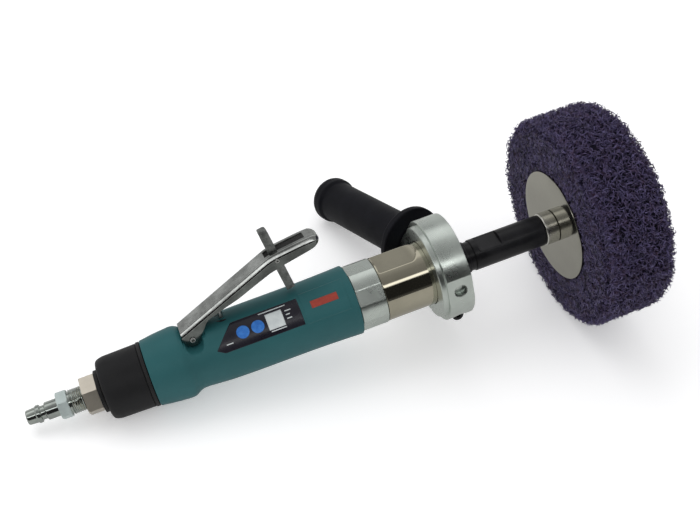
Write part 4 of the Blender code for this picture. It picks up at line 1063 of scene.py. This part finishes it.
def mark_hexagon(piece, front, rear, radius):
    """Give the faces of a piece's hexagon its second material."""
    mesh = piece.data
    centres = np.empty(len(mesh.polygons) * 3, dtype=np.float32)
    mesh.polygons.foreach_get("center", centres)
    centres = centres.reshape(-1, 3)
    station = (FLANGE_FACE - centres[:, 0]) * 1000
    away = np.hypot(centres[:, 1], centres[:, 2]) * 1000
    chosen = (station > front - 0.2) & (station < rear + 0.2) & (away > radius)
    mesh.polygons.foreach_set("material_index", chosen.astype(np.int32))


# ------------------------------------------------------------------ lever and lock
def lever_heights(station):
    """The lever's top height and the lower edge of its cheeks at each station.

    Both run straight between the listed (station, height) points; the ears' lower edge is an
    arc of 4.7 mm round the pivot.
    """
    top = np.array(((165.0, 57.9), (165.5, 59.4), (166.9, 60.7), (169.5, 61.3), (176.0, 60.8),
                    (190.0, 58.9), (196.5, 57.9), (200.6, 56.7), (204.8, 54.9), (212.0, 51.55),
                    (240.0, 38.65), (268.4, 25.55)))
    under = np.array(((165.0, 57.0), (166.2, 55.7), (169.5, 54.2), (174.0, 52.9), (182.0, 51.2),
                      (191.5, 49.2), (202.0, 46.5), (213.0, 42.0), (226.0, 36.5), (241.0, 31.8),
                      (248.5, 29.2), (250.6, 27.2), (252.6, 24.0), (257.3, 18.8)))
    upper = np.interp(station, top[:, 0], top[:, 1])
    lower = np.interp(station, under[:, 0], under[:, 1])
    pivot, height = PIVOT_MM
    offset = np.clip(station - pivot, -4.7, 4.7)
    bowl = height - np.sqrt(np.maximum(4.7 ** 2 - offset ** 2, 0.0))
    lower = np.where(station > 257.3, bowl, lower)
    lower = np.where(station > 266.65, 18.8 + (station - 266.65) * 1.2, lower)
    return upper, np.minimum(lower, upper - 0.05)


def lever_stations():
    """Where the lever's sections stand: close together at its ends, its slot's ends and its ears."""
    stations = np.concatenate((
        165.0 + 4.6 * (1 - np.cos(np.linspace(0.0, np.pi / 2, 16))),
        np.arange(169.9, 173.4, 0.55), np.array((173.6, 174.0)), np.arange(175.0, 201.6, 1.1),
        np.array((201.8, 202.2)), np.arange(203.0, 250.0, 1.2),
        np.arange(250.5, 257.2, 0.5), 262.0 - 4.7 * np.cos(np.linspace(0.0, np.pi, 26)),
        np.array((267.2, 267.8, 268.3)),
    ))
    return np.unique(np.round(stations, 3))


def lever_sections(stations, upper, lower):
    """The lever's y and z, one row for each station, and the number of points up a cheek.

    The section runs up one cheek, round a bend, over the top and down the other cheek. The
    bend is a chain of short runs, each turned a little more inwards than the last: its y and z
    are the running sums of run * sin(tilt) and run * cos(tilt).
    """
    nose = np.clip((171.5 - stations) / 6.6, 0.0, 1.0)
    half = LEVER_HALF_WIDTH - 6.0 * (1 - np.sqrt(1 - nose ** 2 * 0.985))
    tilts = np.radians((6, 17, 27, 33, 35, 36.5, 38, 41, 50, 64, 77, 86))
    runs = np.array((0.35, 0.35, 0.35, 0.4, 0.6, 0.7, 0.6, 0.4, 0.35, 0.35, 0.35, 0.35))
    inward = np.concatenate(([0.0], np.cumsum(runs * np.sin(tilts))))
    upward = np.concatenate(([0.0], np.cumsum(runs * np.cos(tilts))))
    bend = np.minimum(upward[-1], np.maximum(np.minimum(upper - lower, half) * 0.8, 0.05))
    inset = bend * inward[-1] / upward[-1]
    straight = np.linspace(0.0, 1.0, 6)[:-1]
    cheek_z = lower[:, None] + (upper - bend - lower)[:, None] * straight
    cheek_y = np.repeat(-half[:, None], len(straight), axis=1)
    arc_y = -half[:, None] + inset[:, None] * inward / inward[-1]
    arc_z = (upper - bend)[:, None] + bend[:, None] * upward / upward[-1]
    flat_edge = half - inset
    slot_edge = np.minimum(LEVER_SLOT_HALF, 0.7 * flat_edge)
    one_side = np.stack((0.5 * slot_edge, slot_edge, 0.85 * flat_edge), axis=1)
    top_y = np.concatenate((-one_side[:, ::-1], 0.0 * slot_edge[:, None], one_side), axis=1)
    top_z = np.repeat(upper[:, None], top_y.shape[1], axis=1)
    y = np.concatenate((cheek_y, arc_y, top_y, -arc_y[:, ::-1], -cheek_y[:, ::-1]), axis=1)
    z = np.concatenate((cheek_z, arc_z, top_z, arc_z[:, ::-1], cheek_z[:, ::-1]), axis=1)
    return y, z, len(straight)


def lever_piece():
    """The lever: a channel section carried along its stations, with a slot left in its top.

    Its faces on the cheeks take a darker copy of the chrome as painted shade, its inner wall takes a dark
    finish as painted shade, and a Solidify gives the sheet its thickness.
    """
    stations = lever_stations()
    upper, lower = lever_heights(stations)
    y, z, cheek_points = lever_sections(stations, upper, lower)
    x = np.repeat(stations[:, None], y.shape[1], axis=1)
    points = np.stack((FLANGE_FACE - x / 1000, y / 1000, z / 1000), axis=2)
    faces = grid_faces(len(stations), y.shape[1], False, False)
    flat = points.reshape(-1, 3)
    centre = flat[faces].mean(axis=1)
    station = (FLANGE_FACE - centre[:, 0]) * 1000
    on_top = centre[:, 2] * 1000 > np.interp(station, stations, upper) - 0.3
    near_middle = np.abs(centre[:, 1]) * 1000 < LEVER_SLOT_HALF - 0.1
    kept = ~(on_top & near_middle & (station > 173.9) & (station < 202.0))
    columns = y.shape[1] - 1
    column = np.arange(len(faces)) % columns
    cheek = (column < cheek_points) | (column >= columns - cheek_points)
    faces = faces[kept]
    corners = flat[faces]
    normal = np.cross(corners[:, 1] - corners[:, 0], corners[:, 2] - corners[:, 0])
    away = centre[kept] * (0, 1, 0) + (0, 0, 0.004)
    if np.median((normal * away).sum(axis=1)) < 0:
        faces = faces[:, ::-1]
    piece = mesh_piece("lever_channel", points, faces, look("bright_chrome"), 50.0, weld=False)
    wall = piece.modifiers.new("Sheet thickness", "SOLIDIFY")
    wall.thickness = LEVER_SHEET
    wall.offset = -1.0
    wall.material_offset = 1  # the inner wall takes the finish after its outer wall's, a dark one that is painted shade
    for finish in ("shaded_lever_inside", "shaded_cheek_chrome", "shaded_lever_inside"):
        piece.data.materials.append(look(finish))
    # cheek faces take the darker copy of the chrome, painted shade
    piece.data.polygons.foreach_set("material_index", cheek[kept].astype(np.int32) * 2)
    soften(piece, 0.22, 2, 60.0)
    return piece


def ring_pin(name, x_mm, z_mm, radius, half_length):
    """A spring pin across the tool: a tube with rounded ends."""
    tube = [
        (-half_length, radius * 0.5, 0.1), (-half_length, radius, 0.3), (half_length, radius, 0.3),
        (half_length, radius * 0.5, 0.1),
    ]
    return turned(name, tube, look("ground_steel"), 64, place=across(x_mm, z_mm))


def build_lever():
    """The throttle lever with its pins."""
    own(lever_piece(), "lever", "bright_chrome", "throttle_lever")
    own(ring_pin("pivot_roll_pin", *PIVOT_MM, 2.0, 9.15), "tool_body", "tool_steel", "lever_pivot_pin")
    own(ring_pin("lock_roll_pin", *LOCK_MM, 1.5, 8.75), "lever", "tool_steel", "lock_pin")


def build_lock():
    """The lock lever: a straight bar with a rounded foot and a ridged thumb pad."""
    lean = np.radians(10.0)
    foot_angles = np.radians(np.linspace(-6.2, 6.2, 5))
    foot = np.stack((27.1 * np.sin(foot_angles), -27.1 * np.cos(foot_angles)), axis=1)
    pad = [(3.0, 18.6), (2.5, 20.6), (1.2, 21.1), (-2.4, 21.1)]
    ridges = []
    for step in range(4):
        level = 20.3 - 1.45 * step
        ridges += [(-2.9, level), (-2.25, level - 0.4), (-2.25, level - 0.65), (-2.9, level - 1.0)]
    local = np.vstack((foot, pad, ridges, [(-3.0, 12.6)]))
    x = local[:, 0] * np.cos(lean) - local[:, 1] * np.sin(lean)
    z = local[:, 0] * np.sin(lean) + local[:, 1] * np.cos(lean)
    outline = np.stack((LOCK_MM[0] - x, LOCK_MM[1] + z), axis=1)
    piece = prism("lock_bar", outline, 5.7, look("lock_steel"), 0.35)
    own(piece, "lock", "black_oxide", "lock_lever")


def build_valve_parts():
    """The valve stem's visible pin, turned with a domed head."""
    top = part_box("valve_stem")[1][2] * 1000
    turn = Matrix(((0, 0, 1), (0, 1, 0), (-1, 0, 0))).to_4x4()
    place = Matrix.Translation((FLANGE_FACE - VALVE_STATION / 1000, 0, 0)) @ turn
    stem = [(top, 0, 0), (top, 1.3, 0.5), (top - 0.8, 1.78, 0.4), (-7.9, 1.78, 0), (-7.9, 3.35, 0.2),
            (-9.95, 3.35, 0.3), (-9.95, 0, 0)]
    own(turned("stem_pin", stem, look("ground_steel"), 64, False, place=place), "valve",
        "tool_steel", "valve_stem")


def finish_inner_nodes():
    """Give each hidden CAD node the finish of its own material."""
    steel = ("gear_cover_plate", "ring_gear", "spindle_bearing_rear", "bearing_spacer",
             "spindle_bearing_front", "motor_cylinder", "front_end_plate", "rear_end_plate",
             "front_rotor_bearing", "rear_rotor_bearing", "planet_pin_1", "planet_pin_2", "planet_pin_3",
             "motor_rotor", "sun_pinion", "planet_gear_1", "planet_gear_2", "planet_gear_3",
             "valve_spring", "lock_spring")
    finishes = {name: "ground_steel" for name in steel}
    finishes.update({f"rotor_vane_{index}": "cloth_phenolic" for index in range(1, 6)})
    finishes.update({"muffler_felt": "open_felt", "handle_stud": "zinc_plate",
                     "valve_guide": "black_oxide", "valve_seat": "machined_brass"})
    for name, finish in finishes.items():
        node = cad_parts[name]
        for slot in node.material_slots:
            slot.material = look(finish)


# ------------------------------------------------------------------ stage
def build_floor():
    """A plain pale floor that touches the wheel, the rear cap and the side handle from below.

    It is a disc of rings: centre + radius * (cos(angle) * side + sin(angle) * other).
    """
    up = FLOOR_UP.normalized()
    centre = Vector(STAGE_CENTRE)
    centre = centre - up * (centre.dot(up) - FLOOR_DROP)
    side = up.cross(Vector((0, 1, 0))).normalized()
    other = up.cross(side)
    rings = np.linspace(0.0, 1.0, 24)[:, None, None] ** 1.5 * FLOOR_RADIUS
    angle = np.linspace(0, 2 * np.pi, 97)[None, :-1, None]
    points = np.array(centre) + rings * (np.cos(angle) * np.array(side) + np.sin(angle) * np.array(other))
    faces = grid_faces(24, 96, False, True)
    first = points.reshape(-1, 3)[faces[100]]
    if np.cross(first[1] - first[0], first[2] - first[0]) @ np.array(up) < 0:
        faces = faces[:, ::-1]
    material = bpy.data.materials.new("floor_paper")
    material.use_nodes = True
    tree = material.node_tree
    shader = tree.nodes["Principled BSDF"]
    # painted reflection shade: polished parts see the floor at 0.36 instead of its own 0.95
    shade = add(tree, "ShaderNodeMix", data_type="RGBA")
    shade.inputs["A"].default_value = (0.95, 0.95, 0.96, 1)
    shade.inputs["B"].default_value = (0.36, 0.36, 0.35, 1)
    path = add(tree, "ShaderNodeLightPath")
    join(tree, path.outputs["Is Glossy Ray"], shade.inputs["Factor"])
    join(tree, shade.outputs["Result"], shader.inputs["Base Color"])
    shader.inputs["Emission Color"].default_value = (1, 1, 1, 1)
    shader.inputs["Emission Strength"].default_value = 0.26
    shader.inputs["Roughness"].default_value = 0.85
    shader.inputs["Specular IOR Level"].default_value = 0.1
    clear = add(tree, "ShaderNodeBsdfTransparent")
    facing = add(tree, "ShaderNodeNewGeometry")
    mix = add(tree, "ShaderNodeMixShader")
    output = tree.nodes["Material Output"]
    join(tree, facing.outputs["Backfacing"], mix.inputs[0])
    join(tree, shader.outputs[0], mix.inputs[1])
    join(tree, clear.outputs[0], mix.inputs[2])
    join(tree, mix.outputs[0], output.inputs["Surface"])
    floor = mesh_piece("floor", points, faces, material, 60.0, weld=False)


def area_light(name, place, target, size, power):
    """A soft rectangular light aimed at a point, which polished surfaces don't mirror."""
    data = bpy.data.lights.new(name, "AREA")
    data.shape = "RECTANGLE"
    data.size, data.size_y = size
    data.energy = power
    lamp = bpy.data.objects.new(name, data)
    bpy.context.scene.collection.objects.link(lamp)
    lamp.location = place
    lamp.rotation_euler = (Vector(target) - Vector(place)).to_track_quat("-Z", "Y").to_euler()
    lamp.visible_glossy = False
    return lamp


def build_lights(settings):
    """A soft overhead light and a weak fill in a pale room.

    Polished surfaces see the room as bands that depend on the angle round a line through the
    room: a dark near wall, a thin bright lamp, a grey ceiling and a pale far wall.
    """
    area_light("overhead_softbox", (-0.30, 0.25, 1.5), STAGE_CENTRE, (1.4, 1.0), 6.0 * settings.light)
    area_light("front_fill", (-0.9, -1.2, 0.9), STAGE_CENTRE, (0.9, 0.9), 1.2 * settings.light)
    world = bpy.data.worlds.new("pale_room")
    world.use_nodes = True
    bpy.context.scene.world = world
    tree = world.node_tree
    background = tree.nodes["Background"]
    direction = add(tree, "ShaderNodeTexCoord")
    up = FLOOR_UP.normalized()
    near = Vector((0.0, -1.0, 0.0))
    near = (near - up * near.dot(up)).normalized()
    height = add(tree, "ShaderNodeVectorMath", {1: up}, operation="DOT_PRODUCT")
    reach = add(tree, "ShaderNodeVectorMath", {1: near}, operation="DOT_PRODUCT")
    angle = add(tree, "ShaderNodeMath", operation="ARCTAN2")
    scale = add(tree, "ShaderNodeMapRange", {"From Min": 0.0, "From Max": np.pi})
    ramp = add(tree, "ShaderNodeValToRGB")
    stops = ramp.color_ramp.elements
    stops[0].position = 0.0
    stops[0].color = (0.05, 0.05, 0.05, 1)
    stops[1].position = 1.0
    stops[1].color = (0.30, 0.30, 0.30, 1)
    bands = ((0.05, 0.010), (0.26, 0.010), (0.28, 1.0), (0.31, 1.0), (0.325, 0.12), (0.45, 0.14),
             (0.58, 0.22), (0.64, 0.42), (0.76, 0.42), (0.81, 0.13), (0.90, 0.20))
    for position, value in bands:
        stops.new(position).color = (value, value, value, 1)
    gain = add(tree, "ShaderNodeVectorMath", {1: (3.0, 3.0, 3.0)}, operation="MULTIPLY")
    path = add(tree, "ShaderNodeLightPath")
    mix = add(tree, "ShaderNodeMix", data_type="RGBA")
    mix.inputs["A"].default_value = (1.0, 1.0, 1.0, 1)
    join(tree, direction.outputs["Generated"], height.inputs[0])
    join(tree, direction.outputs["Generated"], reach.inputs[0])
    join(tree, height.outputs["Value"], angle.inputs[0])
    join(tree, reach.outputs["Value"], angle.inputs[1])
    join(tree, angle.outputs[0], scale.inputs["Value"])
    join(tree, scale.outputs["Result"], ramp.inputs[0])
    join(tree, ramp.outputs["Color"], gain.inputs[0])
    join(tree, gain.outputs["Vector"], mix.inputs["B"])
    join(tree, path.outputs["Is Glossy Ray"], mix.inputs["Factor"])
    join(tree, mix.outputs["Result"], background.inputs["Color"])
    background.inputs["Strength"].default_value = settings.room


def build_camera():
    """The camera, looking down at the tool from its rear and near side."""
    data = bpy.data.cameras.new("camera")
    data.lens = CAMERA_LENS
    data.sensor_width = 36.0
    camera = bpy.data.objects.new("camera", data)
    bpy.context.scene.collection.objects.link(camera)
    forward = Vector(CAMERA_FORWARD).normalized()
    right = Vector(CAMERA_RIGHT)
    right = (right - forward * right.dot(forward)).normalized()
    up = right.cross(forward)
    turn = Matrix((right, up, -forward)).transposed().to_4x4()
    camera.matrix_world = Matrix.Translation(CAMERA_PLACE) @ turn
    bpy.context.scene.camera = camera
    bpy.context.scene.view_settings.view_transform = "Standard"


# ------------------------------------------------------------------ settings and operators
class GrinderSizes(bpy.types.PropertyGroup):
    """Sizes of the finished surfaces that a user may change."""

    fibre_length: FloatProperty(
        name="Fibre length", description="Middle length of a strand of the wheel",
        default=0.0050, min=0.001, max=0.01, unit="LENGTH",
    )
    fibre_width: FloatProperty(
        name="Fibre width", description="Middle width of a strand of the wheel",
        default=0.00074, min=0.0002, max=0.002, unit="LENGTH",
    )
    fibre_density: FloatProperty(
        name="Fibre density", description="Share of the full number of strands",
        default=1.0, min=0.05, max=1.0,
    )


class GrinderColours(bpy.types.PropertyGroup):
    """Colours of the tool and strengths of its lights."""

    body: FloatVectorProperty(
        name="Body", description="Colour of the moulded body", subtype="COLOR",
        default=(0.0180, 0.093, 0.101), min=0.0, max=1.0,
    )
    rubber: FloatVectorProperty(
        name="Rubber", description="Colour of the side handle", subtype="COLOR",
        default=(0.0034, 0.0036, 0.0056), min=0.0, max=1.0,
    )
    web: FloatVectorProperty(
        name="Web", description="Darker colour of the wheel's strands", subtype="COLOR",
        default=(0.053, 0.044, 0.101), min=0.0, max=1.0,
    )
    nickel: FloatVectorProperty(
        name="Nickel", description="Colour of the plated gear case", subtype="COLOR",
        default=(0.50, 0.47, 0.37), min=0.0, max=1.0,
    )
    alloy: FloatVectorProperty(
        name="Alloy", description="Colour of the clamp ring and nut", subtype="COLOR",
        default=(0.66, 0.715, 0.67), min=0.0, max=1.0,
    )
    light: FloatProperty(
        name="Light", description="Strength of the soft lights", default=1.0, min=0.0, max=10.0,
    )
    room: FloatProperty(
        name="Room", description="Strength of the pale room round the tool", default=0.75,
        min=0.0, max=10.0,
    )


class GRINDER_OT_finishes(bpy.types.Operator):
    """Build the shader groups and every material of the tool."""

    bl_idname = "grinder.finishes"
    bl_label = "Build Finishes"

    def execute(self, context):
        build_finishes(context.scene.grinder_colours)
        finish_inner_nodes()
        return {"FINISHED"}


class GRINDER_OT_wheel(bpy.types.Operator):
    """Build the fibre wheel."""

    bl_idname = "grinder.wheel"
    bl_label = "Build Wheel"

    def execute(self, context):
        build_wheel(context.scene.grinder_sizes)
        return {"FINISHED"}


class GRINDER_OT_spindle(bpy.types.Operator):
    """Build the spindle, flanges, collar, washer and nut."""

    bl_idname = "grinder.spindle"
    bl_label = "Build Spindle"

    def execute(self, context):
        build_flanges()
        build_shaft()
        return {"FINISHED"}


class GRINDER_OT_gear_case(bpy.types.Operator):
    """Build the gear case and its clamp nut."""

    bl_idname = "grinder.gear_case"
    bl_label = "Build Gear Case"

    def execute(self, context):
        build_gear_case()
        return {"FINISHED"}


class GRINDER_OT_handle(bpy.types.Operator):
    """Build the clamp ring with its screw, and the side handle."""

    bl_idname = "grinder.handle"
    bl_label = "Build Side Handle"

    def execute(self, context):
        build_handle_ring()
        build_side_handle()
        return {"FINISHED"}


class GRINDER_OT_body(bpy.types.Operator):
    """Build the body with its plain label and badge, and the exhaust cap."""

    bl_idname = "grinder.body"
    bl_label = "Build Body"

    def execute(self, context):
        build_marks(build_body())
        build_cap()
        return {"FINISHED"}


class GRINDER_OT_inlet(bpy.types.Operator):
    """Build the inlet hexagon, its washer and the plug nipple."""

    bl_idname = "grinder.inlet"
    bl_label = "Build Inlet"

    def execute(self, context):
        build_inlet()
        return {"FINISHED"}


class GRINDER_OT_lever(bpy.types.Operator):
    """Build the throttle lever, its pins, the lock lever and the valve stem."""

    bl_idname = "grinder.lever"
    bl_label = "Build Throttle Lever"

    def execute(self, context):
        build_lever()
        build_lock()
        build_valve_parts()
        return {"FINISHED"}


class GRINDER_OT_stage(bpy.types.Operator):
    """Build the floor, the lights and the camera."""

    bl_idname = "grinder.stage"
    bl_label = "Build Stage"

    def execute(self, context):
        build_floor()
        build_lights(context.scene.grinder_colours)
        build_camera()
        return {"FINISHED"}


OPERATORS = (
    GRINDER_OT_finishes,
    GRINDER_OT_wheel,
    GRINDER_OT_spindle,
    GRINDER_OT_gear_case,
    GRINDER_OT_handle,
    GRINDER_OT_body,
    GRINDER_OT_inlet,
    GRINDER_OT_lever,
    GRINDER_OT_stage,
)


class GRINDER_PT_panel(bpy.types.Panel):
    """Sidebar panel with the tool's settings and build steps."""

    bl_idname = "GRINDER_PT_panel"
    bl_label = "Die Grinder"
    bl_space_type = "VIEW_3D"
    bl_region_type = "UI"
    bl_category = "Die Grinder"

    def draw(self, context):
        layout = self.layout
        for group in (context.scene.grinder_sizes, context.scene.grinder_colours):
            for key in group.bl_rna.properties.keys():
                if key not in {"rna_type", "name"}:
                    layout.prop(group, key)
        for operator in OPERATORS:
            layout.operator(operator.bl_idname)


CLASSES = (GrinderSizes, GrinderColours) + OPERATORS + (GRINDER_PT_panel,)


def register():
    """Register the settings, operators and panel."""
    for cls in CLASSES:
        bpy.utils.register_class(cls)
    bpy.types.Scene.grinder_sizes = PointerProperty(type=GrinderSizes)
    bpy.types.Scene.grinder_colours = PointerProperty(type=GrinderColours)


def unregister():
    """Remove what register added."""
    del bpy.types.Scene.grinder_colours
    del bpy.types.Scene.grinder_sizes
    for cls in reversed(CLASSES):
        bpy.utils.unregister_class(cls)


def main():
    """Register the add-on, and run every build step."""
    register()
    for operator in OPERATORS:
        step = operator.bl_idname.split(".")[1]
        result = getattr(bpy.ops.grinder, step)()
        if result != {"FINISHED"}:
            raise RuntimeError(f"build step {step} didn't finish")


if __name__ == "__main__":
    main()
